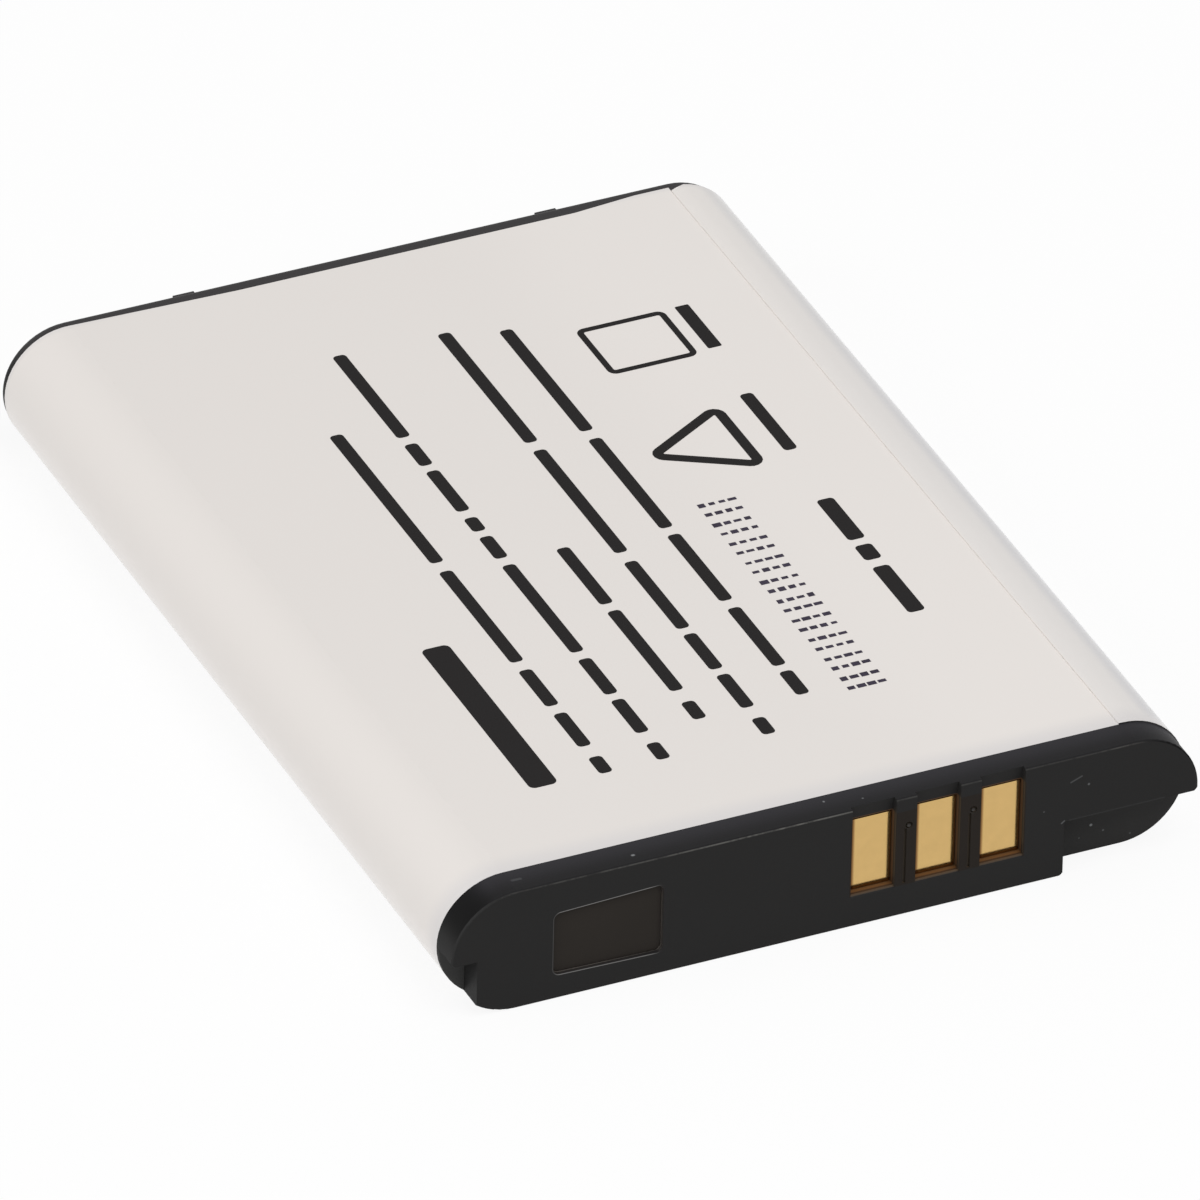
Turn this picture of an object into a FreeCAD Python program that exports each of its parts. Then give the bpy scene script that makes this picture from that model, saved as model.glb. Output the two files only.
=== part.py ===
"""Removable lithium-ion pack of a handheld game console, as a parametric model in millimetres.

The pack lies on its plain side with the printed side up. X runs across its width, Y from the
contact end (low) to the rear cover (high), Z up. The origin is the middle of its footprint.
"""
import FreeCAD, Part
import Sketcher
import math
import os

DRIVING_SIZES = {
    # The whole pack, with its film and the ribs of the rear cover.
    "pack_width": 35.0,
    "pack_thickness": 6.0,
    "pack_length": 48.36,
    # The wrapped film: one layer, and two where its outer edge overlaps beside the right side.
    "film": 0.06,
    "seam_setback": 0.14,
    "flap_end_rise": 1.0,
    # The film's rear edge: how far it reaches over the rear cover towards both sides, and the
    # notch in it beside the seam.
    "corner_reach": 0.28,
    "left_corner": 2.0,
    "left_slope": 9.0,
    "right_corner": 4.8,
    "right_slope": 3.0,
    "seam_notch_width": 0.75,
    "seam_notch_depth": 0.33,
    # Front cap: the part that shows, and the skirt that goes under the film down to the lid.
    "cap_exposed": 1.55,
    "cap_depth": 3.9,
    "cap_edge_radius": 0.1,
    "front_wall": 0.62,
    "skirt_wall": 0.66,
    # Contact windows, open at the top, with a sloped lintel above each contact.
    "window_from_notch": 5.97,
    "window_pitch": 3.03,
    "window_width": 2.06,
    "window_floor_rise": 0.88,
    "window_lip": 0.1,
    "lintel_drop": 0.02,
    "lintel_setback": 0.25,
    "contact_recess": 0.42,
    "contact_clearance": 0.05,
    # Fine groove and gate mark on each rib between two windows.
    "groove_offset": -0.045,
    "groove_width": 0.14,
    "groove_depth": 0.12,
    "groove_start": 0.02,
    "groove_top_rise": 1.42,
    "gate_offset": 0.125,
    "gate_rise": 1.56,
    "gate_radius": 0.17,
    "gate_pin_radius": 0.09,
    # Corner notches, which set the cap back towards the film's edge.
    "notch_lip": 0.23,
    "left_notch_width": 1.2,
    "left_notch_drop": 0.15,
    "right_notch_width": 6.34,
    "right_notch_drop": 0.22,
    "notch_bevel": 0.18,
    # Shallow recess with its film, a little taller at its right end.
    "recess_from_side": 4.75,
    "recess_width": 5.1,
    "recess_drop": 1.77,
    "recess_rise": 1.36,
    "recess_flare_low": 0.12,
    "recess_flare_high": 0.19,
    "recess_depth": 0.28,
    "recess_corner_radius": 0.3,
    "recess_film_thickness": 0.1,
    "recess_film_clearance": 0.05,
    # Protection board in its bay, with what it carries on its back, placed from the bay's right.
    "bay_wall": 0.8,
    "board_thickness": 0.6,
    "board_clearance": 0.05,
    "board_corner_radius": 0.3,
    "chip_height": 0.75,
    "chip_chamfer": 0.1,
    "switch_chip_across": 3.0,
    "switch_chip_along": 3.0,
    "switch_chip_from_bay": 12.4,
    "protection_chip_across": 2.9,
    "protection_chip_along": 1.6,
    "protection_chip_from_bay": 7.8,
    "small_part_across": 1.0,
    "small_part_along": 0.5,
    "small_part_height": 0.45,
    "sense_resistor_across": 0.8,
    "sense_resistor_along": 1.6,
    "sense_resistor_from_bay": 5.5,
    "thermistor_from_bay": 4.0,
    "filter_pair_from_bay": 10.1,
    "filter_pair_spread": 0.9,
    # Sealed cell and what stands on its lid.
    "can_base_radius": 0.6,
    "can_rim_chamfer": 0.15,
    "gasket_radius": 1.8,
    "gasket_flange": 0.25,
    "gasket_neck_radius": 0.9,
    "gasket_neck_depth": 0.7,
    "gasket_floor": 0.15,
    "rivet_radius": 1.35,
    "rivet_head": 0.3,
    "rivet_shank_radius": 0.5,
    "rivet_edge_radius": 0.1,
    "plug_from_side": 1.9,
    "plug_radius": 0.6,
    "plug_depth": 0.5,
    "plug_stands": 0.08,
    "insulator_thickness": 0.1,
    "insulator_clearance": 0.15,
    "plate_from_strip": 1.9,
    "plate_across": 3.4,
    "plate_along": 3.0,
    "plate_thickness": 0.2,
    "plate_corner_radius": 0.3,
    # Nickel strips and the thermal cut-off between them.
    "strip_thickness": 0.12,
    "strip_width": 2.0,
    "positive_strip_from_bay": 2.0,
    "positive_foot": 2.6,
    "link_past_rivet": 1.1,
    "cutoff_across": 3.8,
    "cutoff_along": 2.6,
    "cutoff_height": 0.8,
    "cutoff_edge_radius": 0.15,
    "negative_strip_from_bay": 0.76,
    "negative_foot": 2.0,
    # Rear cover: the part that shows, its spigot under the film, its tape and its two ribs.
    "rear_exposed": 0.9,
    "rear_spigot": 0.36,
    "rear_edge_radius": 0.35,
    "tape_thickness": 0.1,
    "tape_margin": 0.8,
    "rear_rib_height": 0.1,
    "rear_rib_place": 8.7,
    "rear_rib_width": 1.0,
    "rear_rib_margin": 0.15,
}

# How far a cutting outline passes beyond the surface that it opens.
CUT_PAST = 1.0
TOLERANCE = 1e-4

# The points of a sketch's line, arc or circle, as constraints number them.
START, END, CENTRE = range(1, 4)

# Levels along the pack, each an expression of the driving sizes.
FRONT = "(-Sizes.pack_length / 2)"
FILM_FRONT = f"({FRONT} + Sizes.cap_exposed)"
LID = f"({FRONT} + Sizes.cap_depth)"
BOARD_FRONT = f"({FRONT} + Sizes.front_wall)"
BOARD_BACK = f"({BOARD_FRONT} + Sizes.board_thickness)"
NOTCH_DEPTH = "(Sizes.cap_exposed - Sizes.notch_lip)"
BAY_END = f"({FRONT} + {NOTCH_DEPTH} + Sizes.bay_wall)"
CONTACT_FACE = f"({FRONT} + Sizes.contact_recess)"
INSULATOR_FACE = f"({LID} - Sizes.insulator_thickness)"
PLATE_FACE = f"({LID} - Sizes.plate_thickness)"
FLANGE_FACE = f"({LID} - Sizes.gasket_flange)"
RIVET_FACE = f"({FLANGE_FACE} - Sizes.rivet_head)"
REAR_FACE = "(Sizes.pack_length / 2 - Sizes.rear_rib_height)"
FILM_REAR = f"({REAR_FACE} - Sizes.rear_exposed)"
FILM_REACH = f"({FILM_REAR} + Sizes.corner_reach)"
COVER_FRONT = f"({FILM_REAR} - Sizes.rear_spigot)"
CAN_REAR = f"({COVER_FRONT} - Sizes.tape_thickness)"

# The full-round section: its middle height, the centres of its round sides and its radii.
MIDDLE = "(Sizes.pack_thickness / 2)"
ROUND_CENTRE = f"(Sizes.pack_width / 2 - {MIDDLE})"
CAN_RADIUS = f"({MIDDLE} - Sizes.film)"
FLAP_RADIUS = f"({MIDDLE} + Sizes.film)"
CAVITY_RADIUS = f"({CAN_RADIUS} - Sizes.skirt_wall)"
SIDE = "(Sizes.pack_width / 2)"
SEAM = f"({ROUND_CENTRE} - Sizes.seam_setback)"

# Places across the front cap: notches, board bay and contact windows.
LEFT_NOTCH_EDGE = f"(-{SIDE} + Sizes.left_notch_width)"
LEFT_NOTCH_TOP = f"({MIDDLE} - Sizes.left_notch_drop)"
RIGHT_NOTCH_EDGE = f"({SIDE} - Sizes.right_notch_width)"
RIGHT_NOTCH_TOP = f"({MIDDLE} - Sizes.right_notch_drop)"
BAY_LEFT = f"({LEFT_NOTCH_EDGE} + Sizes.bay_wall)"
BAY_RIGHT = f"({RIGHT_NOTCH_EDGE} - Sizes.bay_wall)"
BAY_LOW = f"({MIDDLE} - {CAVITY_RADIUS})"
BAY_HIGH = f"({MIDDLE} + {CAVITY_RADIUS})"
WINDOW_MIDDLE = f"({RIGHT_NOTCH_EDGE} - Sizes.window_from_notch)"
WINDOW_FLOOR = f"({BAY_LOW} + Sizes.window_floor_rise)"
LINTEL = f"({BAY_HIGH} - Sizes.lintel_drop)"
RIB_MIDDLE = f"({WINDOW_MIDDLE} - Sizes.window_pitch / 2)"
RECESS_LEFT = f"(-{SIDE} + Sizes.recess_from_side)"
RECESS_RIGHT = f"({RECESS_LEFT} + Sizes.recess_width)"

# Places of the strips, the clad plate, the cut-off and the fill plug on the lid.
POSITIVE_WEB = f"({BAY_LEFT} + Sizes.positive_strip_from_bay)"
PLATE_MIDDLE = f"({POSITIVE_WEB} + Sizes.plate_from_strip)"
NEGATIVE_WEB = f"({BAY_RIGHT} - Sizes.negative_strip_from_bay)"
CUTOFF_MIDDLE = f"((Sizes.gasket_radius + {NEGATIVE_WEB}) / 2)"
CUTOFF_LEFT = f"({CUTOFF_MIDDLE} - Sizes.cutoff_across / 2)"
CUTOFF_RIGHT = f"({CUTOFF_MIDDLE} + Sizes.cutoff_across / 2)"
PLUG_MIDDLE = f"({ROUND_CENTRE} - Sizes.plug_from_side)"

doc = FreeCAD.newDocument("console_battery")
sizes = doc.addObject("Spreadsheet::Sheet", "Sizes")
for row, (alias, number) in enumerate(DRIVING_SIZES.items(), start=1):
    sizes.set(f"A{row}", alias)
    sizes.set(f"B{row}", str(number))
    sizes.setAlias(f"B{row}", alias)
doc.recompute()

nodes = []


def value(expression):
    """Number that an expression of the driving sizes gives."""
    return float(doc.Sizes.evalExpression(str(expression)))


def new_body(name):
    body = doc.addObject("PartDesign::Body", name)
    body.Label = name
    nodes.append(body)
    return body


def origin_feature(body, role):
    return next(item for item in body.Origin.OriginFeatures if item.Role == role)


def new_sketch(body, name, role, offset):
    """Sketch on an origin plane of the body, moved to a level on the axis normal to it."""
    sketch = body.newObject("Sketcher::SketchObject", name)
    sketch.AttachmentSupport = [(origin_feature(body, role), "")]
    sketch.MapMode = "FlatFace"
    sign = "-" if role == "XZ_Plane" else ""
    sketch.setExpression("AttachmentOffset.Base.z", f"{sign}({offset})")
    return sketch


def hold(sketch, direction, geometry, place, name, expression):
    """Hold a point at a distance from the sketch's origin along X or Y."""
    distance = Sketcher.Constraint(
        f"Distance{direction}", -1, START, geometry, place, value(expression))
    sketch.renameConstraint(sketch.addConstraint(distance), name)
    sketch.setExpression(f"Constraints.{name}", str(expression))


def point(pair):
    return FreeCAD.Vector(value(pair[0]), value(pair[1]), 0)


def outline(sketch, corners):
    """Closed outline through corners, each (x, y) or (x, y, centre, turn).

    A corner with a centre is left along an arc about it. turn is 1 where the arc runs
    counter-clockwise and -1 where it runs clockwise.
    """
    first = sketch.GeometryCount
    ends = []
    for index, corner in enumerate(corners):
        start, end = point(corner), point(corners[(index + 1) % len(corners)])
        if not corner[2:]:
            ends.append((sketch.addGeometry(Part.LineSegment(start, end), False), START, END))
            continue
        centre, turn = point(corner[2]), corner[3]
        rays = [start - centre, end - centre][::turn]
        angles = [math.atan2(ray.y, ray.x) for ray in rays]
        full_circle = Part.Circle(centre, FreeCAD.Vector(0, 0, 1), rays[0].Length)
        arc = sketch.addGeometry(Part.ArcOfCircle(full_circle, *angles), False)
        ends.append((arc, START, END) if turn > 0 else (arc, END, START))
    for index, corner in enumerate(corners):
        geometry, start_place, end_place = ends[index]
        next_geometry, next_place, _ = ends[(index + 1) % len(corners)]
        sketch.addConstraint(Sketcher.Constraint(
            "Coincident", geometry, end_place, next_geometry, next_place))
        hold(sketch, "X", geometry, start_place, f"corner_{first + index}_x", corner[0])
        hold(sketch, "Y", geometry, start_place, f"corner_{first + index}_y", corner[1])
        if corner[2:]:
            hold(sketch, "X", geometry, CENTRE, f"centre_{first + index}", corner[2][0])


def circle(sketch, x, y, radius):
    geometry = sketch.addGeometry(
        Part.Circle(point((x, y)), FreeCAD.Vector(0, 0, 1), value(radius)), False)
    hold(sketch, "X", geometry, CENTRE, f"circle_{geometry}_x", x)
    hold(sketch, "Y", geometry, CENTRE, f"circle_{geometry}_y", y)
    index = sketch.addConstraint(Sketcher.Constraint("Radius", geometry, value(radius)))
    sketch.renameConstraint(index, f"circle_{geometry}_radius")
    sketch.setExpression(f"Constraints.circle_{geometry}_radius", str(radius))


def full_round(sketch, radius):
    """The pack's section at a radius: flat top and bottom with half-round sides."""
    low, high = f"({MIDDLE} - {radius})", f"({MIDDLE} + {radius})"
    right, left = (ROUND_CENTRE, MIDDLE), (f"(-{ROUND_CENTRE})", MIDDLE)
    outline(sketch, [(left[0], low), (right[0], low, right, 1),
                     (right[0], high), (left[0], high, left, 1)])


def rectangle(sketch, left, right, low, high):
    outline(sketch, [(left, low), (right, low), (right, high), (left, high)])


def rounded_rectangle(sketch, left, right, low, high, radius):
    inner_left, inner_right = f"({left} + {radius})", f"({right} - {radius})"
    inner_low, inner_high = f"({low} + {radius})", f"({high} - {radius})"
    outline(sketch, [
        (inner_left, low), (inner_right, low, (inner_right, inner_low), 1),
        (right, inner_low), (right, inner_high, (inner_right, inner_high), 1),
        (inner_right, high), (inner_left, high, (inner_left, inner_high), 1),
        (left, inner_high), (left, inner_low, (inner_left, inner_low), 1)])


def centred(place, size):
    """The two limits of a size that is centred on a place."""
    return f"({place} - {size} / 2)", f"({place} + {size} / 2)"


def extrude(body, sketch, name, length, towards_rear=True):
    """Pad a section of the pack along Y."""
    pad = body.newObject("PartDesign::Pad", name)
    pad.Profile = sketch
    pad.Reversed = towards_rear
    pad.setExpression("Length", str(length))
    doc.recompute()
    return pad


def cut(body, sketch, name, length, reverse=False, symmetric=False):
    """Pocket a sketch, and make sure that it takes material away."""
    volume = body.Shape.Volume
    pocket = body.newObject("PartDesign::Pocket", name)
    pocket.Profile = sketch
    pocket.Reversed = reverse
    if symmetric:
        pocket.SideType = "Symmetric"
    pocket.setExpression("Length", str(length))
    doc.recompute()
    if body.Shape.Volume >= volume - TOLERANCE:
        raise ValueError(f"{name} cuts nothing")
    return pocket


def repeat(body, feature, name, length, count):
    """Repeat a feature along X."""
    pattern = body.newObject("PartDesign::LinearPattern", name)
    pattern.Originals = [feature]
    pattern.Direction = (origin_feature(body, "X_Axis"), [""])
    pattern.setExpression("Length", str(length))
    pattern.Occurrences = count
    body.Tip = pattern
    doc.recompute()
    return pattern


def edges_where(shape, test):
    return [f"Edge{index}" for index, edge in enumerate(shape.Edges, start=1) if test(edge)]


def at_level(level):
    """Test for edges that lie in the section at a level along the pack."""
    place = value(level)
    return lambda edge: all(abs(vertex.Y - place) < TOLERANCE for vertex in edge.Vertexes)


def along_pack(left, right, low, high):
    """Test for straight edges that run along Y inside limits of X and Z."""
    limits = [value(limit) for limit in (left, right, low, high)]

    def test(edge):
        if edge.Curve.TypeId != "Part::GeomLine" or abs(edge.Curve.Direction.y) < 0.999:
            return False
        start = edge.Vertexes[0]
        return (limits[0] - TOLERANCE < start.X < limits[1] + TOLERANCE
                and limits[2] - TOLERANCE < start.Z < limits[3] + TOLERANCE)
    return test


def soften(body, name, kind, size, test):
    """Fillet or chamfer the edges of the body's last feature that pass a test."""
    base = body.Tip
    dressed = body.newObject(f"PartDesign::{kind}", name)
    dressed.Base = (base, edges_where(base.Shape, test))
    dressed.setExpression("Radius" if kind == "Fillet" else "Size", str(size))
    doc.recompute()
    return dressed


def make_front_cap():
    """Moulded end of the pack: full-round rim and skirt, with all that is cut into them."""
    body = new_body("front_cap")
    rim = new_sketch(body, "cap_rim_outline", "XZ_Plane", FRONT)
    full_round(rim, MIDDLE)
    extrude(body, rim, "cap_rim", "Sizes.cap_exposed")
    soften(body, "cap_front_edge", "Fillet", "Sizes.cap_edge_radius", at_level(FRONT))
    skirt = new_sketch(body, "cap_skirt_outline", "XZ_Plane", FILM_FRONT)
    full_round(skirt, CAN_RADIUS)
    extrude(body, skirt, "cap_skirt", f"{LID} - {FILM_FRONT}")
    hollow_front_cap(body)
    notch_front_cap(body)
    cut_contact_windows(body)
    mark_ribs(body)
    cut_recess(body)


def hollow_front_cap(body):
    """Open the skirt from behind, and the board bay in front of it."""
    mouth = new_sketch(body, "cap_mouth_outline", "XZ_Plane", LID)
    full_round(mouth, CAVITY_RADIUS)
    cut(body, mouth, "cap_mouth", f"{LID} - {BAY_END}", reverse=True)
    bay = new_sketch(body, "board_bay_outline", "XZ_Plane", BAY_END)
    rectangle(bay, BAY_LEFT, BAY_RIGHT, BAY_LOW, BAY_HIGH)
    cut(body, bay, "board_bay", f"{BAY_END} - {BOARD_FRONT}", reverse=True)


def notch_front_cap(body):
    """Set the cap's lower corners back, with bevels where the notches meet its outline."""
    bevel = "Sizes.notch_bevel"
    low = f"(-{CUT_PAST})"
    left_far, right_far = f"(-{SIDE} - {CUT_PAST})", f"({SIDE} + {CUT_PAST})"
    left = new_sketch(body, "left_notch_outline", "XZ_Plane", FRONT)
    outline(left, [
        (left_far, low), (LEFT_NOTCH_EDGE, low), (LEFT_NOTCH_EDGE, LEFT_NOTCH_TOP),
        (f"(-{SIDE} + {bevel})", LEFT_NOTCH_TOP),
        (left_far, f"({LEFT_NOTCH_TOP} + {bevel} + {CUT_PAST})")])
    cut(body, left, "left_notch", NOTCH_DEPTH)
    right = new_sketch(body, "right_notch_outline", "XZ_Plane", FRONT)
    outline(right, [
        (f"({RIGHT_NOTCH_EDGE} - {bevel} - {CUT_PAST})", low), (right_far, low),
        (right_far, f"({RIGHT_NOTCH_TOP} + {bevel} + {CUT_PAST})"),
        (f"({SIDE} - {bevel})", RIGHT_NOTCH_TOP), (RIGHT_NOTCH_EDGE, RIGHT_NOTCH_TOP),
        (RIGHT_NOTCH_EDGE, bevel)])
    cut(body, right, "right_notch", NOTCH_DEPTH)


def cut_contact_windows(body):
    """Three windows, open through the cap's top edge, each with a lip and a sloped lintel."""
    inside = f"({BOARD_FRONT} + Sizes.board_clearance)"
    outside = f"({FRONT} - {CUT_PAST})"
    top = "Sizes.pack_thickness"
    above = f"({top} + {CUT_PAST})"
    lip = f"({WINDOW_FLOOR} - Sizes.window_lip)"
    slope_top = f"({FRONT} + Sizes.lintel_setback)"
    first_window = f"({WINDOW_MIDDLE} - Sizes.window_pitch)"
    section = new_sketch(body, "window_section", "YZ_Plane", first_window)
    outline(section, [
        (outside, lip), (FRONT, lip), (f"({FRONT} + Sizes.window_lip)", WINDOW_FLOOR),
        (inside, WINDOW_FLOOR), (inside, LINTEL), (CONTACT_FACE, LINTEL),
        (slope_top, top), (slope_top, above), (outside, above)])
    window = cut(body, section, "contact_window", "Sizes.window_width", symmetric=True)
    repeat(body, window, "contact_windows", "2 * Sizes.window_pitch", 3)


def mark_ribs(body):
    """A fine upright groove and a round gate mark on both ribs between the windows."""
    groove = new_sketch(body, "rib_groove_outline", "XZ_Plane", FRONT)
    left, right = centred(f"({RIB_MIDDLE} + Sizes.groove_offset)", "Sizes.groove_width")
    rectangle(groove, left, right, f"({WINDOW_FLOOR} + Sizes.groove_start)",
              f"({MIDDLE} + Sizes.groove_top_rise)")
    rib_groove = cut(body, groove, "rib_groove", "Sizes.groove_depth")
    repeat(body, rib_groove, "rib_grooves", "Sizes.window_pitch", 2)
    gate = new_sketch(body, "gate_mark_outline", "XZ_Plane", FRONT)
    gate_place = f"({RIB_MIDDLE} + Sizes.gate_offset)"
    gate_level = f"({MIDDLE} + Sizes.gate_rise)"
    circle(gate, gate_place, gate_level, "Sizes.gate_radius")
    circle(gate, gate_place, gate_level, "Sizes.gate_pin_radius")
    gate_mark = cut(body, gate, "gate_mark", "Sizes.groove_depth")
    repeat(body, gate_mark, "gate_marks", "Sizes.window_pitch", 2)


def recess_corners(clearance):
    """Outline of the recess, kept clear of it by a distance."""
    left, right = f"({RECESS_LEFT} + {clearance})", f"({RECESS_RIGHT} - {clearance})"
    low = f"({MIDDLE} - Sizes.recess_drop + {clearance})"
    high = f"({MIDDLE} + Sizes.recess_rise - {clearance})"
    return [(left, low), (right, f"({low} - Sizes.recess_flare_low)"),
            (right, f"({high} + Sizes.recess_flare_high)"), (left, high)]


def recess_edges():
    """Test for the upright corners of the recess and of its film."""
    return along_pack(RECESS_LEFT, RECESS_RIGHT,
                      f"{MIDDLE} - Sizes.recess_drop - Sizes.recess_flare_low",
                      f"{MIDDLE} + Sizes.recess_rise + Sizes.recess_flare_high")


def cut_recess(body):
    shape = new_sketch(body, "recess_outline", "XZ_Plane", FRONT)
    outline(shape, recess_corners("0"))
    recess = cut(body, shape, "recess", "Sizes.recess_depth")
    front, floor = value(FRONT), value(f"{FRONT} + Sizes.recess_depth")
    inside = recess_edges()

    def corner(edge):
        levels = sorted(vertex.Y for vertex in edge.Vertexes)
        return inside(edge) and abs(levels[0] - front) + abs(levels[-1] - floor) < TOLERANCE
    body.Tip = recess
    soften(body, "recess_corners", "Fillet", "Sizes.recess_corner_radius", corner)


def make_recess_film():
    """Thin film on the floor of the recess."""
    body = new_body("recess_film")
    sketch = new_sketch(body, "recess_film_outline", "XZ_Plane", f"({FRONT} + Sizes.recess_depth)")
    outline(sketch, recess_corners("Sizes.recess_film_clearance"))
    extrude(body, sketch, "recess_film_sheet", "Sizes.recess_film_thickness", towards_rear=False)
    soften(body, "recess_film_corners", "Fillet",
           "Sizes.recess_corner_radius - Sizes.recess_film_clearance", recess_edges())


def make_contacts():
    """A gold-plated plate on the board behind each window."""
    for name, step in (("contact_left", -1), ("contact_middle", 0), ("contact_right", 1)):
        middle = f"({WINDOW_MIDDLE} + {step} * Sizes.window_pitch)"
        width = "(Sizes.window_width - 2 * Sizes.contact_clearance)"
        low = f"({WINDOW_FLOOR} + Sizes.contact_clearance)"
        plate = doc.addObject("Part::Box", name)
        plate.Label = name
        plate.setExpression("Length", width)
        plate.setExpression("Width", f"{BOARD_FRONT} - {CONTACT_FACE}")
        plate.setExpression("Height", f"{LINTEL} - Sizes.contact_clearance - {low}")
        plate.setExpression("Placement.Base.x", f"{middle} - {width} / 2")
        plate.setExpression("Placement.Base.y", CONTACT_FACE)
        plate.setExpression("Placement.Base.z", low)
        nodes.append(plate)


def make_circuit_board():
    body = new_body("circuit_board")
    sketch = new_sketch(body, "board_outline", "XZ_Plane", BOARD_FRONT)
    clearance = "Sizes.board_clearance"
    rounded_rectangle(sketch, f"({BAY_LEFT} + {clearance})", f"({BAY_RIGHT} - {clearance})",
                      f"({BAY_LOW} + {clearance})", f"({BAY_HIGH} - {clearance})",
                      "Sizes.board_corner_radius")
    extrude(body, sketch, "board_sheet", "Sizes.board_thickness")


def make_chips():
    """Moulded chips on the back of the board, each with a bevelled top."""
    for name in ("switch_chip", "protection_chip"):
        body = new_body(name)
        sketch = new_sketch(body, f"{name}_outline", "XZ_Plane", BOARD_BACK)
        left, right = centred(
            f"({BAY_RIGHT} - Sizes.{name}_from_bay)", f"Sizes.{name}_across")
        low, high = centred(MIDDLE, f"Sizes.{name}_along")
        rectangle(sketch, left, right, low, high)
        extrude(body, sketch, f"{name}_block", "Sizes.chip_height")
        soften(body, f"{name}_bevel", "Chamfer", "Sizes.chip_chamfer",
               at_level(f"{BOARD_BACK} + Sizes.chip_height"))


def make_small_parts():
    """Resistors, capacitor and thermistor on the back of the board."""
    small = ("Sizes.small_part_across", "Sizes.small_part_along")
    large = ("Sizes.sense_resistor_across", "Sizes.sense_resistor_along")
    spread = "Sizes.filter_pair_spread"
    for name, from_bay, level, (across, along) in (
            ("supply_resistor", "Sizes.filter_pair_from_bay", f"({MIDDLE} + {spread})", small),
            ("filter_capacitor", "Sizes.filter_pair_from_bay", f"({MIDDLE} - {spread})", small),
            ("sense_resistor", "Sizes.sense_resistor_from_bay", MIDDLE, large),
            ("thermistor", "Sizes.thermistor_from_bay", MIDDLE, small)):
        block = doc.addObject("Part::Box", name)
        block.Label = name
        block.setExpression("Length", across)
        block.setExpression("Width", "Sizes.small_part_height")
        block.setExpression("Height", along)
        block.setExpression("Placement.Base.x", f"{BAY_RIGHT} - {from_bay} - {across} / 2")
        block.setExpression("Placement.Base.y", BOARD_BACK)
        block.setExpression("Placement.Base.z", f"{level} - {along} / 2")
        nodes.append(block)


def make_cell_can():
    """Sealed cell with half-round sides, a rounded base and a flat lid with two bores."""
    body = new_body("cell_can")
    sketch = new_sketch(body, "can_outline", "XZ_Plane", LID)
    full_round(sketch, CAN_RADIUS)
    extrude(body, sketch, "can_block", f"{CAN_REAR} - {LID}")
    soften(body, "can_base", "Fillet", "Sizes.can_base_radius", at_level(CAN_REAR))
    soften(body, "can_rim", "Chamfer", "Sizes.can_rim_chamfer", at_level(LID))
    for name, place, radius, depth in (
            ("terminal_bore", "0", "Sizes.gasket_neck_radius", "Sizes.gasket_neck_depth"),
            ("fill_bore", PLUG_MIDDLE, "Sizes.plug_radius", "Sizes.plug_depth")):
        bore = new_sketch(body, f"{name}_outline", "XZ_Plane", LID)
        circle(bore, place, MIDDLE, radius)
        cut(body, bore, name, depth)


def turn(name, corners):
    """Turn a half section, drawn in X and Y, about the pack's long axis at middle height."""
    body = new_body(name)
    section = new_sketch(body, f"{name}_section", "XY_Plane", MIDDLE)
    outline(section, corners)
    turned = body.newObject("PartDesign::Revolution", f"{name}_turned")
    turned.Profile = section
    turned.ReferenceAxis = (section, ["V_Axis"])
    turned.Angle = 360
    doc.recompute()


def make_terminal():
    """Rivet through the lid, and the gasket that keeps it off the can."""
    bottom = f"({LID} + Sizes.gasket_neck_depth)"
    shank_end = f"({bottom} - Sizes.gasket_floor)"
    shank = "Sizes.rivet_shank_radius"
    turn("terminal_gasket", [
        ("0", shank_end), (shank, shank_end), (shank, FLANGE_FACE),
        ("Sizes.gasket_radius", FLANGE_FACE), ("Sizes.gasket_radius", LID),
        ("Sizes.gasket_neck_radius", LID), ("Sizes.gasket_neck_radius", bottom), ("0", bottom)])
    edge = "Sizes.rivet_edge_radius"
    inner, level = f"(Sizes.rivet_radius - {edge})", f"({RIVET_FACE} + {edge})"
    turn("terminal_rivet", [
        ("0", RIVET_FACE), (inner, RIVET_FACE, (inner, level), 1),
        ("Sizes.rivet_radius", level), ("Sizes.rivet_radius", FLANGE_FACE),
        (shank, FLANGE_FACE), (shank, shank_end), ("0", shank_end)])


def make_fill_plug():
    plug = doc.addObject("Part::Cylinder", "fill_plug")
    plug.Label = "fill_plug"
    plug.Placement.Rotation = FreeCAD.Rotation(FreeCAD.Vector(1, 0, 0), -90)
    plug.setExpression("Radius", "Sizes.plug_radius")
    plug.setExpression("Height", "Sizes.plug_depth + Sizes.plug_stands")
    plug.setExpression("Placement.Base.x", PLUG_MIDDLE)
    plug.setExpression("Placement.Base.y", f"{LID} - Sizes.plug_stands")
    plug.setExpression("Placement.Base.z", MIDDLE)
    nodes.append(plug)


def make_clad_plate():
    body = new_body("clad_plate")
    sketch = new_sketch(body, "plate_outline", "XZ_Plane", LID)
    rounded_rectangle(sketch, *centred(PLATE_MIDDLE, "Sizes.plate_across"),
                      *centred(MIDDLE, "Sizes.plate_along"), "Sizes.plate_corner_radius")
    extrude(body, sketch, "plate_sheet", "Sizes.plate_thickness", towards_rear=False)


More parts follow.
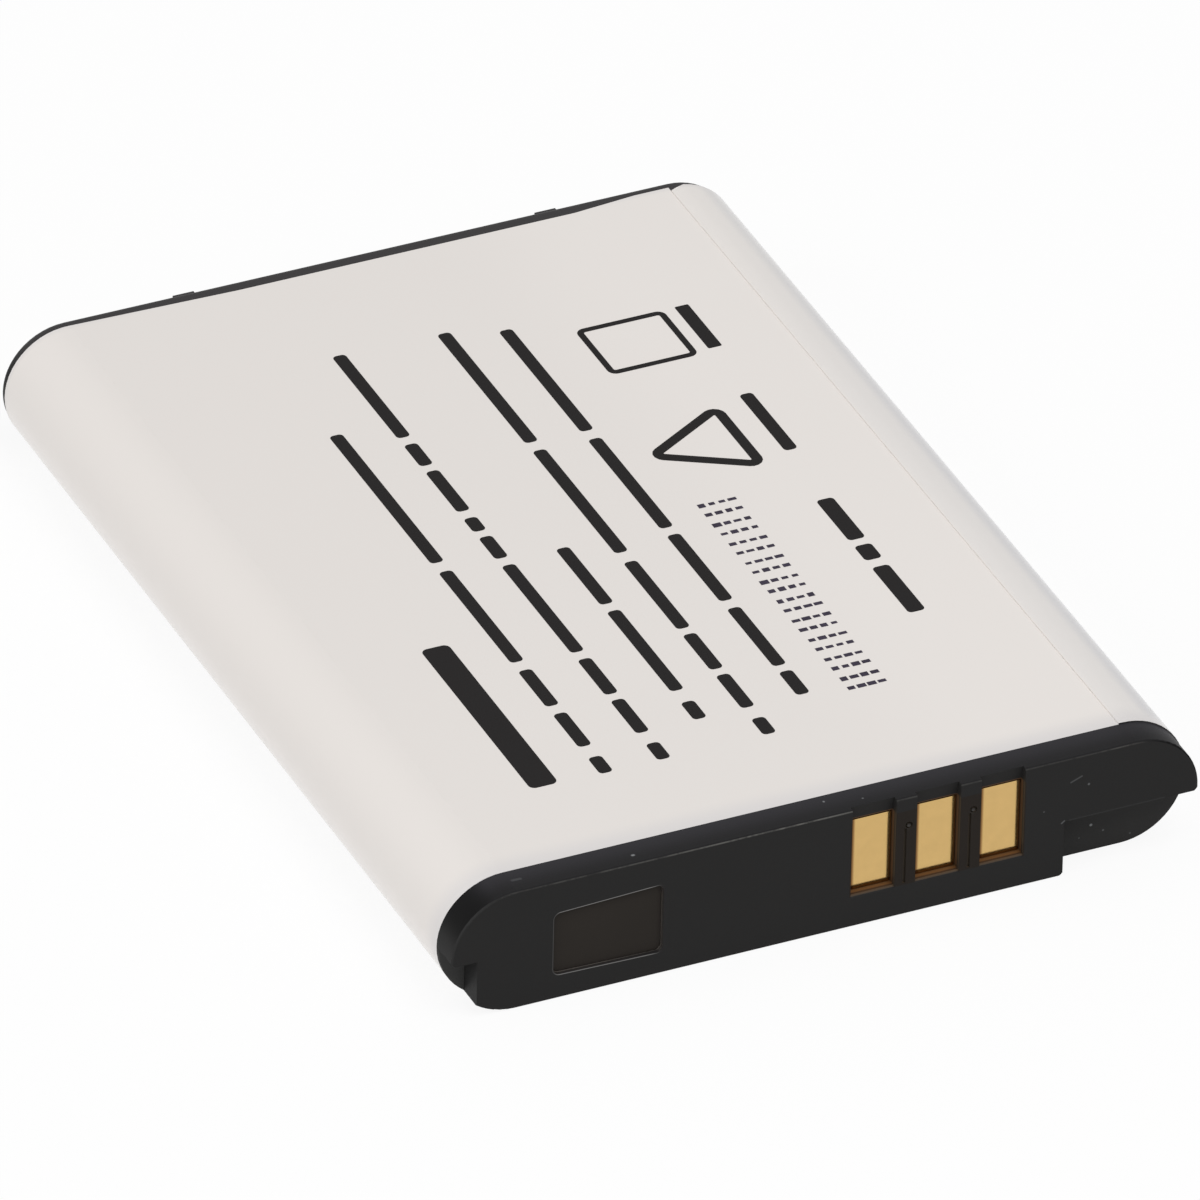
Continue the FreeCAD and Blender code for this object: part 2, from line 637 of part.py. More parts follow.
def make_lid_insulator():
    """Sheet on the lid, open round the gasket, the clad plate and the fill plug."""
    body = new_body("lid_insulator")
    sketch = new_sketch(body, "insulator_outline", "XZ_Plane", LID)
    clearance = "Sizes.insulator_clearance"
    full_round(sketch, f"({CAVITY_RADIUS} - {clearance})")
    circle(sketch, "0", MIDDLE, f"(Sizes.gasket_radius + {clearance})")
    circle(sketch, PLUG_MIDDLE, MIDDLE, f"(Sizes.plug_radius + {clearance})")
    rectangle(sketch, *centred(PLATE_MIDDLE, f"(Sizes.plate_across + 2 * {clearance})"),
              *centred(MIDDLE, f"(Sizes.plate_along + 2 * {clearance})"))
    extrude(body, sketch, "insulator_sheet", "Sizes.insulator_thickness", towards_rear=False)


def make_strip(name, corners):
    """Folded nickel strip: its section in X and Y, as wide as a strip about middle height."""
    body = new_body(name)
    section = new_sketch(body, f"{name}_section", "XY_Plane", MIDDLE)
    outline(section, corners)
    pad = body.newObject("PartDesign::Pad", f"{name}_sheet")
    pad.Profile = section
    pad.SideType = "Symmetric"
    pad.setExpression("Length", "Sizes.strip_width")
    doc.recompute()


def make_strips():
    """Strips from the clad plate to the board, and from the rivet by the cut-off to the board."""
    sheet = "Sizes.strip_thickness"
    board_side = f"({BOARD_BACK} + {sheet})"
    plate_side = f"({PLATE_FACE} - {sheet})"
    foot = f"({POSITIVE_WEB} + Sizes.positive_foot)"
    web = f"({POSITIVE_WEB} + {sheet})"
    make_strip("positive_tab", [
        (POSITIVE_WEB, BOARD_BACK), (foot, BOARD_BACK), (foot, board_side), (web, board_side),
        (web, plate_side), (foot, plate_side), (foot, PLATE_FACE), (POSITIVE_WEB, PLATE_FACE)])
    link_side = f"({RIVET_FACE} - {sheet})"
    start = "(-Sizes.link_past_rivet)"
    make_strip("negative_link", [
        (start, link_side), (CUTOFF_LEFT, link_side),
        (CUTOFF_LEFT, RIVET_FACE), (start, RIVET_FACE)])
    web = f"({NEGATIVE_WEB} - {sheet})"
    foot = f"({NEGATIVE_WEB} - Sizes.negative_foot)"
    make_strip("negative_tab", [
        (foot, BOARD_BACK), (NEGATIVE_WEB, BOARD_BACK), (NEGATIVE_WEB, RIVET_FACE),
        (CUTOFF_RIGHT, RIVET_FACE), (CUTOFF_RIGHT, link_side), (web, link_side),
        (web, board_side), (foot, board_side)])


def make_thermal_cutoff():
    """Flat cut-off on the insulator, with its four upright edges rounded."""
    body = new_body("thermal_cutoff")
    sketch = new_sketch(body, "cutoff_outline", "XZ_Plane", INSULATOR_FACE)
    rectangle(sketch, CUTOFF_LEFT, CUTOFF_RIGHT, *centred(MIDDLE, "Sizes.cutoff_along"))
    extrude(body, sketch, "cutoff_block", "Sizes.cutoff_height", towards_rear=False)
    soften(body, "cutoff_edges", "Fillet", "Sizes.cutoff_edge_radius",
           at_level(f"{INSULATOR_FACE} - Sizes.cutoff_height"))


def make_label_wrap():
    """Film round the can and the skirt, and the flap where its outer edge overlaps."""
    body = new_body("label_wrap")
    tube = new_sketch(body, "film_section", "XZ_Plane", FILM_FRONT)
    full_round(tube, MIDDLE)
    full_round(tube, CAN_RADIUS)
    extrude(body, tube, "film_tube", f"{FILM_REACH} - {FILM_FRONT}")
    flap = new_sketch(body, "flap_section", "XZ_Plane", FILM_FRONT)
    centre = (ROUND_CENTRE, MIDDLE)
    under, over = f"({MIDDLE} + {MIDDLE})", f"({MIDDLE} + {FLAP_RADIUS})"
    end = f"({MIDDLE} + Sizes.flap_end_rise)"
    under_end = f"({ROUND_CENTRE} + sqrt({MIDDLE} ^ 2 - Sizes.flap_end_rise ^ 2))"
    over_end = f"({ROUND_CENTRE} + sqrt({FLAP_RADIUS} ^ 2 - Sizes.flap_end_rise ^ 2))"
    outline(flap, [(SEAM, under), (ROUND_CENTRE, under, centre, -1), (under_end, end),
                   (over_end, end, centre, 1), (ROUND_CENTRE, over), (SEAM, over)])
    extrude(body, flap, "film_flap", f"{FILM_REACH} - {FILM_FRONT}")
    trim_film(body)


def trim_film(body):
    """Cut the film's rear edge back between its corners, and notch it beside the seam."""
    past = f"({FILM_REACH} + {CUT_PAST})"
    left, right = f"(-{SIDE} + Sizes.left_corner)", f"({SIDE} - Sizes.right_corner)"
    edge = new_sketch(body, "film_rear_edge", "XY_Plane", MIDDLE)
    outline(edge, [
        (left, FILM_REACH), (f"({left} + Sizes.left_slope)", FILM_REAR),
        (f"({right} - Sizes.right_slope)", FILM_REAR), (right, FILM_REACH),
        (right, past), (left, past)])
    cut(body, edge, "film_trim", f"Sizes.pack_thickness + 2 * {CUT_PAST}", symmetric=True)
    notch = new_sketch(body, "seam_notch_outline", "XY_Plane", MIDDLE)
    notch_end = f"({SEAM} + Sizes.seam_notch_width)"
    outline(notch, [
        (SEAM, f"({FILM_REACH} - Sizes.seam_notch_depth)"), (notch_end, FILM_REACH),
        (notch_end, past), (SEAM, past)])
    cut(body, notch, "seam_notch", f"{MIDDLE} + {CUT_PAST}", reverse=True)


def make_rear_cover():
    """Moulded end cover: a block partly under the film, with two ribs on its end face."""
    body = new_body("rear_cover")
    block = new_sketch(body, "cover_outline", "XZ_Plane", COVER_FRONT)
    full_round(block, CAN_RADIUS)
    extrude(body, block, "cover_block", f"{REAR_FACE} - {COVER_FRONT}")
    soften(body, "cover_edge", "Fillet", "Sizes.rear_edge_radius", at_level(REAR_FACE))
    root = f"({REAR_FACE} - Sizes.rear_edge_radius)"
    height = f"2 * ({CAN_RADIUS} - Sizes.rear_rib_margin)"
    ribs = new_sketch(body, "cover_rib_outline", "XZ_Plane", root)
    for side in ("-", ""):
        rectangle(ribs, *centred(f"({side}Sizes.rear_rib_place)", "Sizes.rear_rib_width"),
                  *centred(MIDDLE, height))
    extrude(body, ribs, "cover_ribs", f"{REAR_FACE} + Sizes.rear_rib_height - {root}")


def make_rear_tape():
    body = new_body("rear_tape")
    sketch = new_sketch(body, "tape_outline", "XZ_Plane", CAN_REAR)
    full_round(sketch, f"({CAN_RADIUS} - Sizes.tape_margin)")
    extrude(body, sketch, "tape_sheet", "Sizes.tape_thickness")


def check_document():
    """Stop if anything in the document failed or a node has no sound solid."""
    doc.recompute()
    for item in doc.Objects:
        if {"Invalid", "Error"} & set(item.State):
            raise ValueError(f"{item.Name} failed: {item.State}")
    for node in nodes:
        if node.Shape.isNull() or not node.Shape.isValid() or not node.Shape.Solids:
            raise ValueError(f"{node.Label} has no sound solid")


def write_steps():
    os.makedirs("parts", exist_ok=True)
    for node in nodes:
        node.Shape.exportStep(f"parts/{node.Label}.step")
        box = node.Shape.BoundBox
        print(f"{node.Label}: {len(node.Shape.Solids)} solid, {node.Shape.Volume:.3f} mm3, "
              f"X {box.XMin:.2f}..{box.XMax:.2f}, Y {box.YMin:.2f}..{box.YMax:.2f}, "
              f"Z {box.ZMin:.2f}..{box.ZMax:.2f}")


make_front_cap()
make_recess_film()
make_contacts()
make_circuit_board()
make_chips()
make_small_parts()
make_cell_can()
make_terminal()
make_fill_plug()
make_clad_plate()
make_lid_insulator()
make_strips()
make_thermal_cutoff()
make_label_wrap()
make_rear_cover()
make_rear_tape()
check_document()
write_steps()
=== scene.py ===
"""Looks of a slim removable pack of a handheld console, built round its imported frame.

The frame is in metres: X across the pack, Y from the contact end to the rear cover, Z up.
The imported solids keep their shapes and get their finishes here. The print on the film is
built here as thin ink, in plain bars, dashes and outlines.
"""
import logging
import math
from dataclasses import dataclass
from enum import Enum
from typing import ClassVar, Sequence, Union

import bmesh
import bpy
from mathutils import Matrix, Vector


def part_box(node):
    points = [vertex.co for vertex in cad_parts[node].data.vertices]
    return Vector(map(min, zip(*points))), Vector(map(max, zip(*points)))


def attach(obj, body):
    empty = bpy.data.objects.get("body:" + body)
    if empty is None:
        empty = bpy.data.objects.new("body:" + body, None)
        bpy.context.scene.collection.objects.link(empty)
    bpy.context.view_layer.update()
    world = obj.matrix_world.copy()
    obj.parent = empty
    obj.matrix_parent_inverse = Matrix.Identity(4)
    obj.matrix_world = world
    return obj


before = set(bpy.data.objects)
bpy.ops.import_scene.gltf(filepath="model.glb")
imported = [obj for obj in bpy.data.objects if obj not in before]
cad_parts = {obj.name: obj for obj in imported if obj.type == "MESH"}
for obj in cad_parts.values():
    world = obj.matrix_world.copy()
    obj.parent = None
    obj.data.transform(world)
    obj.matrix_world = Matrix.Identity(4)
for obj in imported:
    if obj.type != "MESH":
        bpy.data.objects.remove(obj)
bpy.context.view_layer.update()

LOG = logging.getLogger("console_pack")
MM = 0.001
PER_MM = 1.0 / MM
ONES = (1.0, 1.0, 1.0)
BODY = "root"
FLOAT, VECTOR, INTEGER = "NodeSocketFloat", "NodeSocketVector", "NodeSocketInt"
GEOMETRY, MATERIAL, ROTATION = "NodeSocketGeometry", "NodeSocketMaterial", "NodeSocketRotation"

Triple = tuple[float, float, float]
Span = tuple[float, float]
Socket = bpy.types.NodeSocket
Sockets = bpy.types.NodeOutputs
Tree = bpy.types.NodeTree
Names = dict[str, tuple[str, ...]]
Value = Union[float, Triple, Socket]


class Slot(str, Enum):
    """Material slot of the record that holds the film; this script does not use it."""

    FILM = "wrap_film"


class Graph:
    """Adds nodes and links to one node tree."""

    MIX_SHARE, MIX_FIRST, MIX_SECOND, MIX_RESULT = 0, 6, 7, 2

    def __init__(self, tree: Tree) -> None:
        """Start on the tree to write into."""
        self.tree = tree

    def add(self, kind: str, inputs: dict[Union[str, int], Value] | None = None,
            **settings: object) -> bpy.types.Node:
        """Add a node.

        Args:
            kind: Node type, such as ShaderNodeBump.
            inputs: Values or sockets for its inputs, by name or number.
            settings: Properties of the node.

        Returns:
            The new node.
        """
        node = self.tree.nodes.new(kind)
        for name, setting in settings.items():
            setattr(node, name, setting)
        for key, value in (inputs or {}).items():
            self.feed(node.inputs[key], value)
        return node

    def make(self, kind: str, inputs: dict[Union[str, int], Value] | None = None,
             **settings: object) -> Socket:
        """Add a node as add does, and give its first output."""
        return self.add(kind, inputs, **settings).outputs[0]

    def feed(self, socket: Socket, value: Value) -> None:
        """Link a socket or set a constant into an input.

        Args:
            socket: Input that takes the value.
            value: Socket to link, or a number, colour or vector.
        """
        if isinstance(value, Socket):
            self.tree.links.new(value, socket)
        elif socket.type == "RGBA":
            socket.default_value = (*value, 1.0)
        else:
            socket.default_value = value

    def math(self, operation: str, first: Value, second: Value = 0.0,
             clamp: bool = False) -> Socket:
        """Combine two numbers, and keep the result between 0 and 1 if it is to be clamped."""
        return self.make("ShaderNodeMath", {0: first, 1: second}, operation=operation,
                         use_clamp=clamp)

    def plus(self, first: Value, second: Value) -> Socket:
        """Add two numbers."""
        return self.math("ADD", first, second)

    def minus(self, first: Value, second: Value) -> Socket:
        """Take the second number from the first."""
        return self.math("SUBTRACT", first, second)

    def times(self, first: Value, second: Value) -> Socket:
        """Multiply two numbers."""
        return self.math("MULTIPLY", first, second)

    def larger(self, first: Value, second: Value) -> Socket:
        """Give the larger of two numbers."""
        return self.math("MAXIMUM", first, second)

    def vector(self, operation: str, first: Value, second: Value,
               result: str = "Vector") -> Socket:
        """Combine two vectors, into a Vector, or a Value where the result is a number."""
        node = self.add("ShaderNodeVectorMath", {0: first, 1: second}, operation=operation)
        return node.outputs[result]

    def scaled(self, vector: Value, factor: Value) -> Socket:
        """Scale a vector by a number."""
        return self.make("ShaderNodeVectorMath", {0: vector, "Scale": factor}, operation="SCALE")

    def noise(self, place: Socket, per_metre: Value, detail: float,
              roughness: float = 0.5) -> Socket:
        """Give a soft noise from 0 to 1, with its spots per metre and its finer layers."""
        return self.make("ShaderNodeTexNoise", {
            "Vector": place, "Scale": per_metre, "Detail": detail, "Roughness": roughness})

    def ramp(self, value: Value, low: Value, high: Value, to_low: float = 0.0,
             to_high: float = 1.0) -> Socket:
        """Pass a number through a smooth step.

        Args:
            value: Number to pass through.
            low: Start of the step.
            high: End of the step.
            to_low: Result at the start.
            to_high: Result at the end.

        Returns:
            The result's socket.
        """
        inputs = {"Value": value, "From Min": low, "From Max": high, "To Min": to_low,
                  "To Max": to_high}
        return self.make("ShaderNodeMapRange", inputs, interpolation_type="SMOOTHSTEP")

    def fall(self, value: Value, low: Value, high: Value, start: float = 1.0) -> Socket:
        """Fall smoothly to 0 between two values."""
        return self.ramp(value, low, high, start, 0.0)

    def blend(self, share: Value, first: Value, second: Value) -> Socket:
        """Mix two colours.

        Args:
            share: Share of the second colour.
            first: First colour.
            second: Second colour.

        Returns:
            The mixed colour's socket.
        """
        node = self.add("ShaderNodeMix", data_type="RGBA")
        for number, value in ((self.MIX_SHARE, share), (self.MIX_FIRST, first),
                              (self.MIX_SECOND, second)):
            self.feed(node.inputs[number], value)
        return node.outputs[self.MIX_RESULT]

    def profile(self, value: Value, stops: Sequence[Span]) -> Socket:
        """Follow straight runs between stops.

        Args:
            value: Number from 0 to 1.
            stops: Rising places from 0 to 1, each with the result there.

        Returns:
            The result's socket.
        """
        node = self.add("ShaderNodeValToRGB", {0: value})
        elements = node.color_ramp.elements
        elements[0].position, elements[1].position = stops[0][0], stops[-1][0]
        for place, _ in stops[1:-1]:
            elements.new(place)
        for element, (_, level) in zip(elements, stops):
            element.color = (level, level, level, 1.0)
        return node.outputs["Color"]

    def split(self, vector: Value) -> Sockets:
        """Split a vector into its X, Y and Z sockets."""
        return self.add("ShaderNodeSeparateXYZ", {0: vector}).outputs

    def group(self, tree: Tree, **inputs: Value) -> Sockets:
        """Place a node group.

        Args:
            tree: Group to place.
            inputs: Its inputs, with an underscore for each space of a name.

        Returns:
            The group's outputs.
        """
        kind = "GeometryNodeGroup" if tree.type == "GEOMETRY" else "ShaderNodeGroup"
        node = self.add(kind, node_tree=tree)
        for name, value in inputs.items():
            self.feed(node.inputs[name.replace("_", " ")], value)
        return node.outputs

    def give(self, **outputs: Value) -> Tree:
        """Feed the outputs of a group and give its tree."""
        self.add("NodeGroupOutput", outputs)
        return self.tree


def new_group(name: str, kind: str, inputs: Names, outputs: Names) -> tuple[Graph, Sockets]:
    """Start a node group.

    Args:
        name: Group's name.
        kind: ShaderNodeTree or GeometryNodeTree.
        inputs: Names of its inputs, by socket type.
        outputs: Names of its outputs, by socket type.

    Returns:
        The graph, and the sockets of the inputs.
    """
    tree = bpy.data.node_groups.new(name, kind)
    for side, names in (("INPUT", inputs), ("OUTPUT", outputs)):
        for socket_type, labels in names.items():
            for label in labels:
                tree.interface.new_socket(label, in_out=side, socket_type=socket_type)
    graph = Graph(tree)
    return graph, graph.add("NodeGroupInput").outputs


class SurfaceEffects:
    """Shader groups that several finishes share."""

    NOISE_MIDDLE = 0.5
    ROUGHNESS_SPREAD = 0.1
    BREAKS_PER_MM = 1.5
    BREAK_SOFTNESS = 0.12
    LEAST_HIGHLIGHT_SHARE = 0.15
    LIP_WIDTH = 0.06 * MM
    LIP_START = (0.0, 0.06)
    LIP_END = (0.86, 1.0)
    LIP_AT_LEFT = 0.22
    MARK_POWER = 0.6
    NEARLY_NOTHING = 1e-12

    def __init__(self) -> None:
        """Build each group once."""
        self.grain = self._grain()
        self.edge = self._edge()
        self.lip_highlight = self._lip()
        self.mark = self._mark()

    def _grain(self) -> Tree:
        """Fine grain with slow cloudiness over it.

        Returns:
            Group with a height from 0 to 1, a shade about 1 and a roughness.
        """
        graph, given = new_group(
            "fine_grain", "ShaderNodeTree",
            {VECTOR: ("Vector", "Stretch"),
             FLOAT: ("Grain per mm", "Clouds per mm", "Cloudiness", "Roughness")},
            {FLOAT: ("Height", "Shade", "Roughness")})
        place = graph.vector("MULTIPLY", given["Vector"], given["Stretch"])
        grain = graph.noise(place, graph.times(given["Grain per mm"], PER_MM), detail=2.0,
                            roughness=0.6)
        clouds = graph.noise(given["Vector"], graph.times(given["Clouds per mm"], PER_MM),
                             detail=3.0, roughness=0.55)
        offset = graph.minus(clouds, self.NOISE_MIDDLE)
        shade = graph.plus(graph.times(offset, given["Cloudiness"]), 1.0)
        rough = graph.plus(given["Roughness"], graph.times(offset, self.ROUGHNESS_SPREAD))
        return graph.give(Height=grain, Shade=shade, Roughness=rough)

    def _edge(self) -> Tree:
        """Painted highlight and shade lines along rounded edges, where their normal points a given
        way.

        Returns:
            Group with a mask from 0 to 1, broken up along the edge.
        """
        graph, given = new_group(
            "edge_line", "ShaderNodeTree",
            {VECTOR: ("Normal", "Towards", "Vector"), FLOAT: ("Tightness", "Bare Share")},
            {FLOAT: ("Mask",)})
        facing = graph.vector("DOT_PRODUCT", given["Normal"], given["Towards"], "Value")
        line = graph.ramp(facing, given["Tightness"], 1.0)
        # noise breaks the painted line up along the edge
        noise = graph.noise(given["Vector"], self.BREAKS_PER_MM * PER_MM, detail=4.0,
                            roughness=0.7)
        low = graph.minus(given["Bare Share"], self.BREAK_SOFTNESS)
        high = graph.plus(given["Bare Share"], self.BREAK_SOFTNESS)
        highlight_breaks = graph.ramp(noise, low, high, 1.0, self.LEAST_HIGHLIGHT_SHARE)
        return graph.give(Mask=graph.times(line, highlight_breaks))

    def _lip(self) -> Tree:
        """Thin painted highlight line round an opening that grows taller towards its right end.

        Returns:
            Group with a mask that is weaker at the left and fades before the right end.
        """
        graph, given = new_group(
            "opening_lip", "ShaderNodeTree",
            {VECTOR: ("Vector", "Low", "High"), FLOAT: ("Flare Low", "Flare High", "Corner")},
            {FLOAT: ("Mask",)})
        here, low, high = (graph.split(given[name]) for name in ("Vector", "Low", "High"))
        share = graph.math("DIVIDE", graph.minus(here["X"], low["X"]),
                           graph.minus(high["X"], low["X"]))
        bottom = graph.minus(low["Z"], graph.times(share, given["Flare Low"]))
        top = graph.plus(high["Z"], graph.times(share, given["Flare High"]))
        past = []
        for before, after in ((graph.minus(low["X"], here["X"]), graph.minus(here["X"], high["X"])),
                              (graph.minus(bottom, here["Z"]), graph.minus(here["Z"], top))):
            past.append(graph.plus(graph.larger(before, after), given["Corner"]))
        squares = [graph.math("POWER", graph.larger(side, 0.0), 2.0) for side in past]
        outer = graph.math("SQRT", graph.plus(*squares))
        inner = graph.math("MINIMUM", graph.larger(*past), 0.0)
        gap = graph.minus(graph.plus(outer, inner), given["Corner"])
        half = self.LIP_WIDTH / 2
        off_line = graph.math("ABSOLUTE", graph.minus(gap, half))
        line = graph.math("SUBTRACT", 1.0, graph.math("DIVIDE", off_line, half), clamp=True)
        fade = graph.times(graph.ramp(share, *self.LIP_START, self.LIP_AT_LEFT, 1.0),
                           graph.fall(share, *self.LIP_END))
        return graph.give(Mask=graph.times(line, fade))

    def _mark(self) -> Tree:
        """A short line mark or a speck between two points, used for scratched lines, specks and
        small painted highlights.

        Returns:
            Group with a mask that adds to the one it is given.
        """
        graph, given = new_group(
            "scratch_mark", "ShaderNodeTree",
            {VECTOR: ("Vector", "Start", "End"), FLOAT: ("Radius", "Strength", "Mask")},
            {FLOAT: ("Mask",)})
        run = graph.vector("SUBTRACT", given["End"], given["Start"])
        away = graph.vector("SUBTRACT", given["Vector"], given["Start"])
        along = graph.vector("DOT_PRODUCT", away, run, "Value")
        squared = graph.vector("DOT_PRODUCT", run, run, "Value")
        share = graph.math("DIVIDE", along, graph.plus(squared, self.NEARLY_NOTHING), clamp=True)
        gap = graph.vector("DISTANCE", away, graph.scaled(run, share), "Value")
        inside = graph.math("SUBTRACT", 1.0, graph.math("DIVIDE", gap, given["Radius"]), clamp=True)
        mark = graph.times(graph.math("POWER", inside, self.MARK_POWER), given["Strength"])
        return graph.give(Mask=graph.larger(mark, given["Mask"]))


@dataclass(frozen=True)
class ScratchOrGlint:
    """A fine scratched line, or a speck where it has no end, in mm from the pack's corner; a few
    stand for painted highlights.
    """

    start: Triple
    radius: float
    strength: float
    end: Triple | None = None


@dataclass(frozen=True)
class PaintedEdgeLight:
    """A painted light line on rounded edges that face one way, a highlight where its colour is pale
    and shade where it is dark, with its strength from left to right.
    """

    towards: Triple
    colour: Triple
    strength: tuple[Span, ...]
    tightness: float
    break_share: float = 0.9
    low_share: float = 1.0


@dataclass(frozen=True)
class Opening:
    """Limits of an opening in the end face, with a corner radius and its flares, in metres."""

    low: Vector
    high: Vector
    flare_low: float = 0.0
    flare_high: float = 0.0
    corner: float = 0.0


class Coat:
    """A material under way: its nodes, and the colour that is laid on so far."""

    def __init__(self, look: "Finish", effects: SurfaceEffects) -> None:
        """Start a material with its grain.

        Args:
            look: Finish to follow.
            effects: Shared shader groups.
        """
        self.effects = effects
        self.material = bpy.data.materials.new(look.name)
        self.material.use_nodes = True
        self.graph = Graph(self.material.node_tree)
        self.shader = self.material.node_tree.nodes["Principled BSDF"]
        spot = self.graph.add("ShaderNodeTexCoord").outputs
        self.place, self.normal = spot["Object"], spot["Normal"]
        self.here, self.facing = self.graph.split(self.place), self.graph.split(self.normal)
        grain = self.graph.group(
            effects.grain, Vector=self.place, Stretch=look.grain_stretch,
            Grain_per_mm=look.grain_per_mm, Clouds_per_mm=look.clouds_per_mm,
            Cloudiness=look.cloudiness, Roughness=look.roughness)
        self.colour = self.graph.scaled(look.colour, grain["Shade"])
        self.bump = self.graph.add("ShaderNodeBump", {"Distance": look.grain_height,
                                                      "Height": grain["Height"]})
        for label, value in (("Roughness", grain["Roughness"]), ("Metallic", look.metallic),
                             ("Normal", self.bump.outputs["Normal"]),
                             ("Specular IOR Level", look.specular)):
            self.graph.feed(self.shader.inputs[label], value)

    def lay(self, share: Value, colour: Value) -> None:
        """Lay a colour over what is there, by its share."""
        self.colour = self.graph.blend(share, self.colour, colour)

    def mask(self, tree: Tree, **inputs: Value) -> Socket:
        """Give the mask of an effect at each place."""
        return self.graph.group(tree, Vector=self.place, **inputs)["Mask"]

    def within(self, opening: Opening, soft: float) -> Socket:
        """Mask the places within an opening's limits.

        Args:
            opening: Limits across and up.
            soft: Distance over which the mask fades outside them.

        Returns:
            The mask's socket.
        """
        mask: Value = 1.0
        for axis, low, high in (("X", opening.low.x, opening.high.x),
                                ("Z", opening.low.z, opening.high.z)):
            mask = self.graph.times(mask, self.graph.ramp(self.here[axis], low - soft, low))
            mask = self.graph.times(mask, self.graph.fall(self.here[axis], high, high + soft))
        return mask


@dataclass(frozen=True)
class Finish:
    """A finish with grain, cloudiness and bump from its nodes."""

    name: str
    colour: Triple
    roughness: float = 0.5
    metallic: float = 0.0
    specular: float = 0.5
    grain_per_mm: float = 8.0
    grain_stretch: Triple = ONES
    grain_height: float = 0.002 * MM
    clouds_per_mm: float = 0.2
    cloudiness: float = 0.12

    def paint(self, coat: Coat) -> None:
        """Lay on what a special finish has; a plain one has nothing more."""

    def make(self, effects: SurfaceEffects) -> bpy.types.Material:
        """Make the material.

        Args:
            effects: Shared shader groups.

        Returns:
            The material.
        """
        coat = Coat(self, effects)
        self.paint(coat)
        coat.graph.feed(coat.shader.inputs["Base Color"], coat.colour)
        return coat.material


